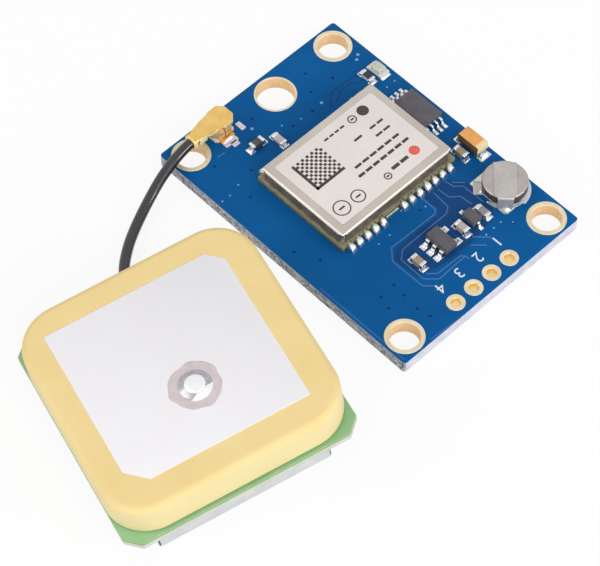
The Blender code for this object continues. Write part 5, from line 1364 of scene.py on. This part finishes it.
    def build_print(self) -> None:
        """Part of a white disc printed under the backup cell, and plain numbers beside the header holes."""
        level = board_top()
        cell = node_box("cell_can")[2]
        radius = self.cell_print_radius
        low, high = level - 0.01, level + 0.02
        disc = turned_wall([(0.4, low), (radius, low), (radius, high), (0.4, high)], *self.cell_print_arc, 48)
        shape = [disc.at(*cell[:2])]
        for number, (x, y) in enumerate(self.number_places, start=1):
            place = Place(np.array([x, y, level + 0.012]), np.array([-AHEAD, RIGHT, UP]))
            shape.append(number_shape(str(number), self.number_size).moved(place))
        make_piece("board_white_print", joined(*shape), [SILK])

    def build(self) -> None:
        """Builds the board, its platings and everything flat on it."""
        self.build_slab()
        for name in self.platings:
            self.build_plating(name)
        self.build_pour()
        self.build_vias()
        self.build_print()


# Receiver module

@dataclass(frozen=True)
class ReceiverModule:
    """Shielded module soldered to the board by its castellated edges."""

    notch_radius: float = 0.25
    notch_offsets: tuple = (-7, -5.9, -4.8, -3.7, -2.6, 0.4, 1.5, 2.6, 3.7, 4.8, 5.9, 7)
    joint_width: float = 0.92
    joint_reach: float = 0.86
    joint_rise: float = 0.84
    can_bend: float = 0.28
    can_corner: float = 0.12
    foot: float = 0.14
    sheet: float = 0.2
    corner_gap: float = 0.5
    film: float = 0.02
    size: tuple = (12.2, 16)
    post_inset: float = 0.46
    post_reach: tuple = (0.2, 0.34)
    lap: float = 1.2
    red_dot: tuple = (1.32, 5.27, 0.62)
    bars: tuple = (
        (-3.7, 5.86, 3.86, 0.62), (-3.7, 2.89, 1.63, 0.62), (-2.6, 5.79, 3.65, 0.62),
        (-1.24, 5.69, -0.68, 0.72), (-0.2, 6.03, -1.18, 0.8), (1.42, 4.36, 1.9, 0.95),
        (-5.83, 2.44, -0.51, 0.55),
    )
    bar_gap: float = 0.2
    dot: tuple = (-5.87, 5.07, 0.68)
    rings: tuple = ((1.41, -2.77, 0.8), (1.32, -4.97, 0.95), (-5.82, 3.51, 0.5), (1.75, 1.1, 0.44))
    checker_place: tuple = (-3.83, -3.23)
    checker_side: float = 3.9
    checker_cells: int = 12

    def build_base(self) -> None:
        """Module's own small board, with a half hole at each joint."""
        low, high = node_box("module_base")[:2]
        can_low = node_box("module_can")[0]
        centre = node_box("module_can")[2]
        size = self.size
        base = np.array([centre[0], centre[1], 0])
        bottom, top = low[2], can_low[2] - 0.05
        right = self.notched_side(size[0] / 2, size[1] / 2)
        outline = np.vstack([right, right[::-1] * (-1, 1)])
        rings = stacked([(outline, height) for height in (bottom, 0.5 * (bottom + top), top)])
        slab = loft(rings).banded(len(outline), [0, 1])
        thin, thick = self.notch_radius - 0.03, self.notch_radius + 0.05
        brim = top + self.film
        lining = turned_wall([(thin, bottom), (thick, bottom), (thick, brim), (thin, brim)], 90, 270, 12)
        linings = repeated(lining, self.notch_places(size[0] / 2, 0)).painted(2)
        foot_size = node_box("module_can")[1] - can_low + 2 * self.foot
        foot = block((foot_size[0], foot_size[1], 0.12), 0.2, 0.04, top - 0.03).painted(3)
        make_piece("module_laminate_base", joined(slab, linings, foot).moved(Place(base)),
                   [MODULE_BASE, MODULE_TOP, CASTELLATION, FOOT_SOLDER], ("module_base",))
        self.build_joints(base, size)

    def notch_places(self, half_width: float, turn: float) -> list:
        """Places of the half holes at both sides, their first axis outwards turned by an angle."""
        return [Place.at(side * half_width, offset).turned(pi * (side < 0) + turn) for side in (-1, 1)
                for offset in self.notch_offsets]

    def notched_side(self, half_width: float, half_length: float) -> Array:
        """Right side of the base from its lower corner up, with a half circle at each notch.

        Args:
            half_width: Half the base's width.
            half_length: Half its length.

        Returns:
            The side's points.
        """
        turn = np.linspace(-pi / 2, -3.0 * pi / 2, 10)
        x, y = half_width + self.notch_radius * np.cos(turn), self.notch_radius * np.sin(turn)
        notches = [np.column_stack([x, offset + y]) for offset in self.notch_offsets]
        return np.vstack([[(half_width, -half_length)], *notches, [(half_width, half_length)]])

    def build_joints(self, base: Array, size: tuple) -> None:
        """Solder that fills each half hole and bulges on the pad outside it.

        Args:
            base: Middle of the module.
            size: Its width and length.
        """
        level = board_top()
        parts = [solder_blob(self.joint_width, self.joint_reach, self.joint_rise, 31 + index).moved(place)
                 for index, place in enumerate(self.notch_places(size[0] / 2, -pi / 2))]
        section = rounded_outline(rectangle(0.26, 0.42), 0.1, steps=5)
        path = np.linspace((0, -2, 0), (0, -0.3, 0), 9)
        path += (size[0] / 2 + 0.12, 0, 0.22)
        parts.append(sweep(path, section, RIGHT).painted(1))
        shape = joined(*parts).moved(Place.at(base[0], base[1], level))
        make_piece("module_solder_joints", shape, [SOLDER, TINTED_SOLDER])

    def build_can(self) -> None:
        """Folded shield: a flat top with its four walls bent down, and a seam at each corner. Its walls below
        the bends carry painted shade and its bends a painted highlight.
        """
        low, high, centre = node_box("module_can")
        size = high - low
        half = self.sheet / 2
        middle = high[2] - half - 0.003
        levels = [(0.3, high[2] - self.sheet), (0.11, high[2] - 0.19), (0.05, high[2] - 0.13),
                  (0.12, high[2] - 0.045), (0.24, high[2])]
        # The top's outer rounded bands take the painted highlight.
        top = moulded(rectangle(*size[:2]), self.can_corner + 0.1, levels, 6).banded(24, [3, 3, 3, 0])
        walls = []
        for place, reach, run in four_sides(size[0], size[1]):
            points = [(reach - self.lap, 0, middle), (reach - half, 0, middle), (reach - half, 0, low[2])]
            wall = strip(points, run - 2 * self.corner_gap, self.sheet, self.can_bend - half, AHEAD)
            # Wall faces at the bend take the painted highlight too.
            wall = wall.painted_beyond(RIGHT, reach - 0.3, 3)
            # Wall faces below the bend take the darker brown copy of the sheet: painted shade.
            walls.append(wall.painted_beyond(-UP, self.can_bend - high[2], 1).moved(place))
        inner, outer = self.post_reach
        brim = high[2] - self.sheet
        post = turned_wall([(inner, low[2]), (outer, low[2]), (outer, brim), (inner, brim)], 4, 86, 8)
        corners = np.roll(rectangle(*(size[:2] - 2 * self.post_inset)), -2, axis=0)
        posts = [
            post.moved(Place.at(x, y).turned(0.5 * pi * quarter)) for quarter, (x, y) in enumerate(corners)]
        shape = joined(top, *walls, joined(*posts).painted(2))
        shape = shape.at(*centre[:2])
        make_piece("shield_can", shape, [SHIELD, SHIELD_WALL_PAINTED_SHADE, SHIELD_SEAM, SHIELD_PAINTED_HIGHLIGHT],
                   ("module_can",))

    def build_label(self) -> None:
        """Pale printed field on the can's top, with plain bars, rings and a checked square."""
        low, high, centre = node_box("module_label")
        field_shape = block(high - low, 0.25, 0.02, low[2]).at(*centre[:2])
        make_piece("label_field", field_shape, [LABEL], ("module_label",))
        level, film = high[2] - 0.006, self.film
        parts = []
        for x, first, last, width in self.bars:
            parts += self.bar_row(x, first, last, width, level)
        ring_shape = [
            flat_ring(radius, radius - 0.13, level, level + film).at(x, y) for x, y, radius in self.rings]
        ring_bars = [tile(0.2, 0.8 * radius, film, level).at(x, y) for x, y, radius in self.rings]
        dot = pillow(self.dot[2], film, level, 40).at(*self.dot[:2])
        dark = joined(*parts, *ring_shape, *ring_bars, dot, self.checker(level))
        red = pillow(self.red_dot[2], film, level, 32).at(*self.red_dot[:2])
        make_piece("label_print", joined(dark.painted(0), red.painted(1)), [PRINT, RED_PRINT])

    def bar_row(self, x: float, first: float, last: float, width: float, level: float) -> list:
        """Row of short plain bars in place of a line of print.

        Args:
            x: Place of the row across the label.
            first: Where it starts along the label.
            last: Where it ends.
            width: Height of the bars, as letters would be.
            level: Height of the label's face.

        Returns:
            The bars.
        """
        count = max(1, round(abs(first - last) / (1.1 * width + self.bar_gap)))
        run = abs(first - last) / count
        centres = first - run * (np.arange(count) + 0.5)
        bar = tile(0.42 * width, run - self.bar_gap, self.film, level)
        return [bar.at(x, y) for y in centres]

    def checker(self, level: float) -> Surface:
        """Square of dark and bare squares in turn, with two solid sides.

        Args:
            level: Height of the label's face.

        Returns:
            The dark squares and sides.
        """
        count, side = self.checker_cells, self.checker_side
        cell = side / count
        row, column = np.meshgrid(np.arange(1, count), np.arange(count - 1), indexing="ij")
        chosen = (row + column) % 2 == 0
        places = np.column_stack([column[chosen], row[chosen]]) * cell + 0.5 * (cell - side)
        one = tile(0.96 * cell, 0.96 * cell, self.film, level)
        squares = repeated(one, [Place.at(x, y) for x, y in places])
        low_bar = tile(side, cell, self.film, level).at(0, 0.5 * (cell - side))
        end_bar = tile(cell, side, self.film, level).at(0.5 * (side - cell), 0)
        return joined(squares, low_bar, end_bar).at(*self.checker_place)

    def build(self) -> None:
        """Builds the module."""
        self.build_base()
        self.build_can()
        self.build_label()
        dress_node("module_chip", RESIN)
        dress_node("module_crystal", STEEL)
        dress_node("module_filter", PALE)


# Small parts on the board

def lying_place(name: str) -> tuple:
    """Place of a small part with its first axis along its longer side, and its size in those axes."""
    low, high, centre = node_box(name)
    size = high - low
    place = Place.at(*centre[:2], low[2])
    if size[1] > size[0]:
        return place.turned(pi / 2), size[[1, 0, 2]]
    return place, size


def end_joints(length: float, width: float, rise: float, toe: float, gap: float, seed: int) -> Surface:
    """Solder at both ends of a part lying along the first axis: a pad under each end and a fillet up it.

    Args:
        length: Length of the part.
        width: Width of its ends.
        rise: How far the solder climbs.
        toe: How far it runs out on the pad.
        gap: Height of the part over the board.
        seed: Number that sets the waviness.

    Returns:
        The solder as one surface.
    """
    parts = []
    for side in (-1, 1):
        spot = Place.at(side * (0.5 * length - 0.02), 0, -gap).turned(-side * pi / 2)
        parts.append(solder_ramp(1.05 * width, toe, rise + gap, 1.5, seed + side).moved(spot))
        under = 0.35
        pad = block((toe + under, 1.12 * width, gap), 0.08, 0.01, -gap)
        parts.append(pad.at(side * (0.5 * (length + toe - under)), 0))
    return joined(*parts)


@dataclass(frozen=True)
class ChipPart:
    """Ceramic chip with two metal ends, soldered to its pads."""

    node: str
    body: Finish
    slot: Slot
    seed: int
    film: Finish | None = None
    end_length: float = 0.34
    edge: float = 0.05
    toe: float = 0.3

    def build(self) -> None:
        """Builds the body, its ends, a glazed top where it has one, and the solder."""
        place, (length, width, height) = lying_place(self.node)
        gap = place.origin[2] - board_top()
        slim = 0.02
        body = block((length - 2 * slim, width - 2 * slim, height - 2 * slim), 0.03, 0.03, slim)
        end = block((self.end_length, width, height), self.edge, self.edge, 0)
        ends = [end.at(side * (length - self.end_length) / 2, 0) for side in (-1, 1)]
        rise = min(0.75 * height, 0.45)
        metal = joined(*ends, end_joints(length, width, rise, self.toe, gap, self.seed))
        parts = [body.painted(0), metal.painted(1)]
        finishes = [self.body, SOLDER]
        if self.film is not None:
            cover = block(
                (length - 2 * self.end_length - 0.02, width - 0.06, 0.03), 0.03, 0.008, height - slim - 0.01)
            parts.append(cover.painted(2))
            finishes.append(self.film)
        make_piece(f"{self.node}_chip", joined(*parts).moved(place), finishes, (self.node,))


@dataclass(frozen=True)
class GullWingPackage:
    """Moulded package with bent leads on two sides, soldered at their feet."""

    node: str
    row: float
    across: float
    height: float
    standoff: float
    span: float
    leads: tuple
    lead_width: float
    turn: float
    seed: int
    pad_reach: float = 0.25
    sheet: float = 0.14
    slope: float = 0.16
    draft: float = 0.07
    edge: float = 0.05

    def body_shape(self) -> Surface:
        """Body with drafted faces above and below its parting line."""
        levels = drafted_levels(
            self.standoff, self.standoff + self.height, self.draft, self.edge, (0.85, 0.85))
        return moulded(rectangle(self.row, self.across), 0.08, levels, 5)

    def lead_shape(self, offset: float, side: int) -> Surface:
        """One lead, from the parting line out, down and out again to its foot.

        Args:
            offset: Place along the row.
            side: 1 or -1, the side that it leaves from.

        Returns:
            The lead.
        """
        low = self.sheet / 2
        toe = self.span / 2
        shoulder = self.across / 2 + (toe - self.across / 2 - self.slope) / 2
        middle = self.standoff + self.height / 2
        steps = ((self.across / 2 - self.sheet, middle), (shoulder, middle), (shoulder + self.slope, low),
                 (toe, low))
        points = [(offset, side * distance, height) for distance, height in steps]
        return strip(points, self.lead_width, self.sheet, 0.07, RIGHT)

    def joint_shape(self, offset: float, side: int, gap: float) -> Surface:
        """Pad and solder round one foot.

        Args:
            offset: Place along the row.
            side: 1 or -1, the side that the foot is on.
            gap: Height of the package over the board.

        Returns:
            The pad with its solder.
        """
        toe = self.span / 2
        spot = Place.at(offset, side * (toe - 0.05), -gap)
        if side < 0:
            spot = spot.turned(pi)
        fillet = solder_ramp(1.35 * self.lead_width, self.pad_reach, 0.2, 1.3, self.seed + side)
        run = self.pad_reach + 0.55
        pad = block((1.45 * self.lead_width, run, gap + 0.03), 0.05, 0.015, -gap)
        pad = pad.at(offset, side * (toe + self.pad_reach - run / 2))
        return joined(fillet.moved(spot), pad)

    def build(self) -> None:
        """Builds the package."""
        low, high, centre = node_box(self.node)
        place = Place.at(*centre[:2], low[2]).turned(self.turn)
        gap = low[2] - board_top()
        metal = [self.lead_shape(offset, side) for offset, side in self.leads]
        metal += [self.joint_shape(offset, side, gap) for offset, side in self.leads]
        shape = joined(self.body_shape().painted(0), joined(*metal).painted(1)).moved(place)
        make_piece(f"{self.node}_package", shape, [RESIN, SOLDER], (self.node,))


@dataclass(frozen=True)
class StatusLight:
    """Surface-mounted status light: white base and cloudy lens."""

    def build(self) -> None:
        """Builds the base with its soldered ends, and the lens."""
        place, (length, width, height) = lying_place("status_led_base")
        gap = place.origin[2] - board_top()
        base = block((length, width, height), 0.06, 0.03, 0)
        joints = end_joints(length, 0.9 * width, 0.22, 0.24, gap, 51)
        make_piece("status_light_base", joined(base.painted(0), joints.painted(1)).moved(place),
                   [WHITE_PLASTIC, SOLDER], ("status_led_base",))
        place, (length, width, height) = lying_place("status_led_lens")
        levels = [(0, 0), (0, 0.05)] + [
            (0.07 + inset, rise) for inset, rise in fillet_levels(0.05, height, 0.01, 0.12, 5)[5:]]
        lens = moulded(rectangle(length, width), 0.12, levels, 5)
        make_piece("status_light_lens", lens.moved(place), [CLEAR_RESIN], ("status_led_lens",))


@dataclass(frozen=True)
class TantalumCapacitor:
    """Moulded orange capacitor with a pale band at one end and a folded strip under each end."""

    band: float = 0.42
    draft: float = 0.08
    edge: float = 0.07

    def build(self) -> None:
        """Builds the body, its band, and the strips with their solder."""
        place, (length, width, height) = lying_place("tantalum_capacitor")
        draft, edge = self.draft, self.edge
        levels = drafted_levels(0, height, draft, edge, (1, 0.9))
        body = moulded(rectangle(length, width), 0.08, levels, 5)
        cover = block((self.band, width - 2 * (draft + edge) + 0.02, 0.02), 0.03, 0.004, height - 0.012)
        cover = cover.at((length - self.band) / 2 - draft - 0.4 * edge, 0)
        # Faces on the body's low side along its second axis take the dark brown copy: painted shade.
        body = body.painted_beyond(-AHEAD, 0.5 * width - draft - 0.6 * edge, 2)
        body = body.painted_beyond(RIGHT, 0.5 * length - draft - 0.6 * edge, 1)
        body = body.painted_beyond(-RIGHT, 0.5 * length - draft - edge, 3)
        make_piece("tantalum_body", joined(body, cover.painted(1)).moved(place),
                   [ORANGE, CREAM, ORANGE_PAINTED_SHADE, ORANGE_END], ("tantalum_capacitor",))
        self.build_terminal("tantalum_terminal_1", -1)
        self.build_terminal("tantalum_terminal_2", 1)

    def build_terminal(self, name: str, side: int) -> None:
        """One folded strip and the solder that climbs it.

        Args:
            name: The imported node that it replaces.
            side: -1 for the low end along the board, 1 for the high end.
        """
        low, high, centre = node_box(name)
        gap = low[2] - board_top()
        sheet = 0.1
        outer = (high[0] if side > 0 else low[0]) - side * sheet / 2
        inner = low[0] if side > 0 else high[0]
        points = [(outer, centre[1], high[2]), (outer, centre[1], low[2] + sheet / 2),
                  (inner, centre[1], low[2] + sheet / 2)]
        metal = strip(points, high[1] - low[1], sheet, 0.08, AHEAD)
        spot = Place.at(outer, centre[1], board_top()).turned(-side * pi / 2)
        fillet = solder_ramp(1.35, 0.42, 0.42, 1.3, 61 + side).moved(spot)
        pad = block((0.9, 1.45, gap), 0.1, 0.01, board_top())
        pad = pad.at(outer + side * 0.05, centre[1])
        make_piece(f"{name}_strip", joined(metal, fillet, pad), [SOLDER], (name,))


@dataclass(frozen=True)
class BackupCell:
    """Coin cell between a bent top strip and a bottom strip, on two square pads."""

    edge: float = 0.17
    sheet: float = 0.15
    tab_sheet: float = 0.12
    strip_width: float = 2.36
    leg_width: float = 1.67
    pads: tuple = ((8.08, 8.75, 2.23, 2.3), (11.12, 8.65, 2.25, 2.1), (9.6, 7.85, 1.6, 0.5))
    pad_corner: tuple = (12.245, 7.6)
    pool_reach: float = 48.0
    pool_rise: float = 0.62
    top_turn: float = radians(-45)
    bottom_turn: float = radians(225)

    def build_can(self) -> None:
        """Cup, turned over at its mouth, with a rounded closed end upwards."""
        low, high, centre = node_box("cell_can")
        radius, top, rise = (high[0] - low[0]) / 2, high[2], low[2]
        crimp = radius - 0.3
        turn = np.linspace(0, pi / 2, 9)
        outside = [(0, top), (radius - self.edge - 0.12, top)]
        outside += [(radius - self.edge * (1 - sin(a)), top - self.edge * (1 - cos(a))) for a in turn]
        outside += [(radius, rise + 0.3), (radius - 0.05, rise + 0.14), (radius - 0.15, rise)]
        inside = [(crimp, rise), (crimp, rise + self.sheet), (radius - self.sheet, rise + 2 * self.sheet),
                  (radius - self.sheet, top - self.sheet), (0, top - self.sheet)]
        shape = lathe(outside + inside, 96).at(*centre[:2])
        # The cup's side below its rounded edge takes the dark copy: painted shade.
        shape = shape.painted_beyond(-UP, 1.2 * self.edge - top, 1)
        make_piece("cell_cup", shape, [STEEL, CELL_SIDE_PAINTED_SHADE], ("cell_can",))

    def build_strip(self, name: str, turn: float, points: list, widths: list) -> None:
        """Bent strip beside or under the cell.

        Args:
            name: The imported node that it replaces.
            turn: Its direction round the cell.
            points: Distances from the cell's axis and heights of its middle line.
            widths: Pairs of share of its length and width.
        """
        cell = node_box("cell_can")[2]
        path = [(distance, 0, height) for distance, height in points]
        shape = ribbon(path, widths, self.tab_sheet, 0.13, AHEAD)
        place = Place.at(*cell[:2]).turned(turn)
        make_piece(f"{name}_strip", shape.moved(place), [STRIP_STEEL], (name,))

    def build_pads(self) -> None:
        """Two tinned square pads with solder drawn up to the strips."""
        level = board_top()
        parts = []
        for x, y, width, run in self.pads:
            pad = block((width, run, 0.12), 0.1, 0.05, level)
            parts.append(pad.at(x, y))
        cell = node_box("cell_can")[2]
        spot = Place.at(*cell[:2], level + 0.06).turned(self.bottom_turn - pi / 2)
        parts.append(solder_ramp(1.4, 0.42, 0.34, 1.2, 71).moved(spot.shifted((0, 2.35, 0))))
        make_piece(
            "cell_pads", joined(*parts, self.pool(level).painted(1)), [PAD_SOLDER, POOL_SOLDER])

    def pool(self, level: float) -> Surface:
        """Solder drawn up round the top strip's foot, over the corner of its pad.

        Each point lies at an angle round the cell and at a share of the way
        from its side to the pad's edge. The height is the rise times (1 - share
        of the way) to the power 1.4, times a round falling off to both sides,
        with a slight waviness.

        Args:
            level: Height of the board's face.

        Returns:
            The solder.
        """
        low, high, centre = node_box("cell_can")
        start = (high[0] - low[0]) / 2 + 0.04
        side, out = share_grid(31, 13)
        angle = self.top_turn + radians(self.pool_reach) * side
        to_side, to_front = np.abs(np.array(self.pad_corner) - centre[:2])
        edge = np.minimum(
            to_side / np.maximum(np.cos(angle), 0.05), to_front / np.maximum(-np.sin(angle), 0.05))
        radius = start + (np.maximum(edge, start + 0.1) - start) * out
        round_off = np.clip(1 - np.abs(side) ** 2.2, 0, 1) ** 0.7
        waves = 1 + 0.12 * np.sin(9.0 * side + 0.8) * np.cos(5.0 * out)
        rise = 0.12 + self.pool_rise * round_off * (1 - out) ** 1.4 * waves
        return height_solid(
            centre[0] + radius * np.cos(angle), centre[1] + radius * np.sin(angle), level + rise, level)

    def build(self) -> None:
        """Builds the cell, its strips and its pads."""
        self.build_can()
        top_low, top_high = node_box("cell_top_tab")[:2]
        low = top_low[2] + self.tab_sheet / 2
        high = top_high[2] - self.tab_sheet / 2
        radius = (node_box("cell_can")[1][0] - node_box("cell_can")[0][0]) / 2
        leg = radius + 0.11
        foot = leg + self.tab_sheet
        self.build_strip("cell_top_tab", self.top_turn,
                         [(-2, high), (leg, high), (foot, low), (foot + 0.55, low)],
                         [(0, self.strip_width), (0.60, self.strip_width), (0.665, self.leg_width),
                          (0.91, 0.9 * self.leg_width), (1, 0.18 * self.leg_width)])
        self.build_strip("cell_bottom_tab", self.bottom_turn, [(-1, low), (radius + 0.8, low)],
                         [(0, self.strip_width), (0.7, self.leg_width), (1, self.leg_width)])
        self.build_pads()
        dress_node("cell_gasket", SEAL_AND_PAINTED_SHADE)
        dress_node("cell_cap", STEEL)


@dataclass(frozen=True)
class CoaxSocket:
    """Board socket under the plug: white base with cut corners and its soldered pads."""

    cut: float = 0.3
    mound_x: float = -14.1
    pads: tuple = (
        (-13.75, -6.05, 0.7, 1.7), (-13.25, -5.85, 0.7, 0.8), (-17.1, -6.05, 0.75, 1.9),
        (-14.5, -3.95, 1.1, 0.6))

    def build(self) -> None:
        """Builds the base and the pads, and dresses the shell and the pin."""
        low, high, centre = node_box("coax_socket_base")
        size = high - low
        corners = cut_square(size[0], size[1], (self.cut,) * 4)
        levels = fillet_levels(low[2], high[2], 0.03, 0.04, 4)
        base = moulded(corners, 0.04, levels, 4).at(*centre[:2])
        make_piece("socket_white_base", base, [WHITE_PLASTIC], ("coax_socket_base",))
        level = board_top()
        parts = [block((width, run, 0.05), 0.1, 0.02, level).at(x, y) for x, y, width, run in self.pads]
        mound = solder_ramp(1.5, 0.3, 0.24, 1.2, 81)
        parts.append(mound.moved(Place.at(self.mound_x, centre[1], level).turned(-pi / 2)))
        make_piece("socket_pads", joined(*parts), [SOCKET_SOLDER])
        dress_node("coax_socket_shell", GOLD)
        dress_node("coax_socket_pin", GOLD)


# Antenna

@dataclass(frozen=True)
class PatchAntenna:
    """Ceramic patch on its green board and tinned can, tilted where it lies."""

    turn: float = radians(-15.93)
    ceramic_side: float = 25.0
    ceramic_corner: float = 4.55
    ceramic_bottom: float = 3.59
    ceramic_top: float = 7.54
    ceramic_edge: float = 0.8
    film_side: float = 18.9
    film_place: tuple = (-0.1, -0.26)
    film_cuts: tuple = (1.51, 1.97)
    film_rise: float = 0.04
    feed_place: tuple = (2.8, 0.34)
    pin_radius: float = 1.05
    solder_radius: float = 1.8
    flux_radius: float = 2.62
    solder_rise: float = 0.34
    head_rise: float = 0.22
    board_size: tuple = (25.7, 25)
    board_cut: float = 1.45
    board_bottom: float = 2.40
    board_top: float = 3.40
    edge_band: float = 0.3
    can_sides: tuple = (-9.6, 12.4, -9.55, 9.07)
    can_depth: float = 2.35
    can_sheet: float = 0.2
    can_bend: float = 0.28
    can_slot: float = 0.22
    blob_place: tuple = (12.75, 0.1)

    def place(self) -> Place:
        """Antenna's own axes: the record's face and normal, turned about that normal."""
        mount = next(item for item in frame["record"]["mounts"] if item["name"] == "antenna_underside")
        normal = -np.array(mount["axis"])
        flat = np.array([cos(self.turn), sin(self.turn), 0])
        along = unit(flat - normal * (flat @ normal))
        return Place(np.array(mount["pos_m"]) / MM, np.array([along, np.cross(normal, along), normal]))

    def build_ceramic(self) -> None:
        """Pressed ceramic block with round corners and a round upper edge."""
        levels = fillet_levels(self.ceramic_bottom, self.ceramic_top, 0.12, self.ceramic_edge, 12)
        shape = moulded(rectangle(self.ceramic_side, self.ceramic_side), self.ceramic_corner, levels, 24)
        # The lower bands and sides take the darker copy as painted shade, the upper round edge and top the
        # plain ceramic.
        shape = shape.banded(96, [1] * 15 + [0] * 8)
        make_piece("patch_ceramic", shape.moved(self.place()), [CERAMIC, CERAMIC_SIDE_PAINTED_SHADE],
                   ("antenna_ceramic",))

    def build_film(self) -> None:
        """Silver electrode on the ceramic, two of its corners cut for tuning."""
        corners = cut_square(self.film_side, self.film_side, (0, self.film_cuts[1], 0, self.film_cuts[0]))
        corners = corners + np.array(self.film_place)
        levels = [(0, self.ceramic_top - 0.01), (0, self.ceramic_top + 0.6 * self.film_rise),
                  (0.03, self.ceramic_top + self.film_rise)]
        shape = moulded(corners, 0.12, levels, 4)
        make_piece("patch_film", shape.moved(self.place()), [SILVER], ("antenna_electrode",))

    def build_feed(self) -> None:
        """Feed pin's round head in its ring of solder, with a painted highlight on one side of the ring, in a
        pale stain of flux.
        """
        top = self.ceramic_top + self.film_rise
        spot = self.place().shifted((*self.feed_place, 0))
        low = [(0, top), (self.solder_radius, top)]
        steps = np.linspace(0.05, 1, 10)
        slope = [(self.solder_radius * (1 - 0.4 * t), top + self.solder_rise * t**1.6) for t in steps]
        # Faces past a plane on one side of the ring take the painted highlight.
        ring = lathe(low + slope + [(0, top + self.solder_rise)]).painted_beyond((0.96, 0.28, 0), 0.95, 1)
        make_piece("feed_solder_ring", ring.moved(spot), [FEED_SOLDER, FEED_PAINTED_HIGHLIGHT], ("feed_solder",))
        head = pillow(self.pin_radius, self.head_rise, top + 0.3, 48)
        make_piece("feed_pin_head", head.moved(spot), [BRIGHT_SOLDER], ("feed_pin",))
        angle = full_turn(ROUND_STEPS)
        wander = (1 + 0.03 * np.sin(3.0 * angle + 0.7) + 0.022 * np.sin(7.0 * angle)
                  + 0.015 * np.sin(11.0 * angle))
        stain = self.flux_radius * wander[:, None] * circle(1)
        levels = ((1, -0.01), (0.99, 0.012), (0.9, 0.02), (0.6, 0.012))
        rings = stacked([(share * stain, top + rise) for share, rise in levels])
        make_piece("feed_flux_stain", loft(rings).moved(spot), [FLUX])

    def build_board(self) -> None:
        """Green board with its four corners cut off, and a drop of solder at its near edge."""
        corners = cut_square(*self.board_size, (self.board_cut,) * 4)
        levels = [
            (0.05, self.board_bottom), (0, self.board_bottom + 0.05),
            (0, self.board_top - self.edge_band), (0, self.board_top - 0.05), (0.05, self.board_top)]
        shape = moulded(corners, 0.1, levels, 4)
        shape = shape.banded(len(corners) * 4, [0, 2, 1, 0])
        make_piece("antenna_green_board", shape.moved(self.place()), [GREEN, GREEN_EDGE, PALE_EDGE],
                   ("antenna_board",))
        drop = solder_blob(1.3, 0.55, 0.75, 91)
        spot = self.place().shifted((self.blob_place[0] - 0.35, self.blob_place[1], self.can_depth - 0.2))
        make_piece("antenna_tab_solder", drop.moved(spot.turned(-pi / 2)), [FLUX_SOLDER])

    def build_can(self) -> None:
        """Folded tin can: a flat underside and four walls bent up, with a slot at each corner and a dark post
        behind each slot as painted shade.
        """
        left, right, near, far = self.can_sides
        sheet, half, bend = self.can_sheet, self.can_sheet / 2, self.can_bend
        middle = Place.at((left + right) / 2, (near + far) / 2)
        width, length = right - left, far - near
        floor = block((width - 2 * bend, length - 2 * bend, sheet), 0.3, 0.02, 0.004)
        walls = []
        for place, reach, run in four_sides(width, length):
            points = [
                (reach - 1, 0, half), (reach - half, 0, half), (reach - half, 0, self.can_depth)]
            walls.append(strip(points, run - 2 * self.can_slot, sheet, bend, AHEAD).moved(place))
        # Dark posts inside the corners show as dark lines in the slots: painted shade.
        post = block((0.3, 0.3, self.can_depth - bend), 0.05, 0.02, bend)
        corners = rectangle(width - 0.5, length - 0.5)
        posts = joined(*(post.at(x, y) for x, y in corners)).painted(1)
        shape = joined(floor, *walls, posts).moved(middle).moved(self.place())
        make_piece("antenna_folded_can", shape, [TIN, SEAL_AND_PAINTED_SHADE], ("antenna_can",))

    def build(self) -> None:
        """Builds the antenna."""
        self.build_ceramic()
        self.build_film()
        self.build_feed()
        self.build_board()
        self.build_can()
        dress_node("antenna_tape", TAPE)
        dress_node("antenna_amplifier", RESIN)
        dress_node("antenna_filter", STEEL)
        dress_node("lead_joint", SOLDER)


def small_parts() -> list:
    """Every small part on the board, in the order it is built."""
    chips = [
        ChipPart("led_resistor", WHITE_CERAMIC, Slot.PALE, 11, DARK_GLAZE),
        ChipPart("module_capacitor", TAN, Slot.TAN, 12),
        ChipPart("input_capacitor", TAN, Slot.TAN, 13),
        ChipPart("output_capacitor", PINK_GREY, Slot.PALE, 14),
        ChipPart("charge_resistor", PALE, Slot.PALE, 15, GREY_GLAZE),
        ChipPart("aerial_inductor", FERRITE, Slot.FERRITE, 16, toe=0.42),
        ChipPart("aerial_capacitor", PALE, Slot.PALE, 17),
    ]
    memory_row = [(index - 1.5) * 0.65 for index in range(4)]
    packages = [
        GullWingPackage("memory_chip", 3, 4.4, 0.9, 0.12, 6.4,
                        tuple((offset, side) for side in (-1, 1) for offset in memory_row), 0.26,
                        pi / 2, 21),
        GullWingPackage("regulator", 2.9, 1.6, 1.05, 0.1, 2.8,
                        tuple((step * 0.95, -1) for step in (-1, 0, 1))
                        + tuple((step * 0.95, 1) for step in (-1, 1)), 0.48, 0, 22, 0.45),
        GullWingPackage("charge_diode", 1.25, 1.75, 0.95, 0.08, 2.5,
                        ((0, -1), (0, 1)), 0.32, pi / 2, 23, 0.32),
    ]
    return chips + packages + [StatusLight(), TantalumCapacitor(), BackupCell(), CoaxSocket()]


def main() -> None:
    """Builds every sub-assembly in order."""
    logging.basicConfig(level=logging.INFO, format="%(name)s %(message)s")
    for part in (Studio(), AntennaLead(), CircuitBoard(), ReceiverModule(), PatchAntenna(), *small_parts()):
        LOG.info("building %s", type(part).__name__)
        part.build()


if __name__ == "__main__":
    main()
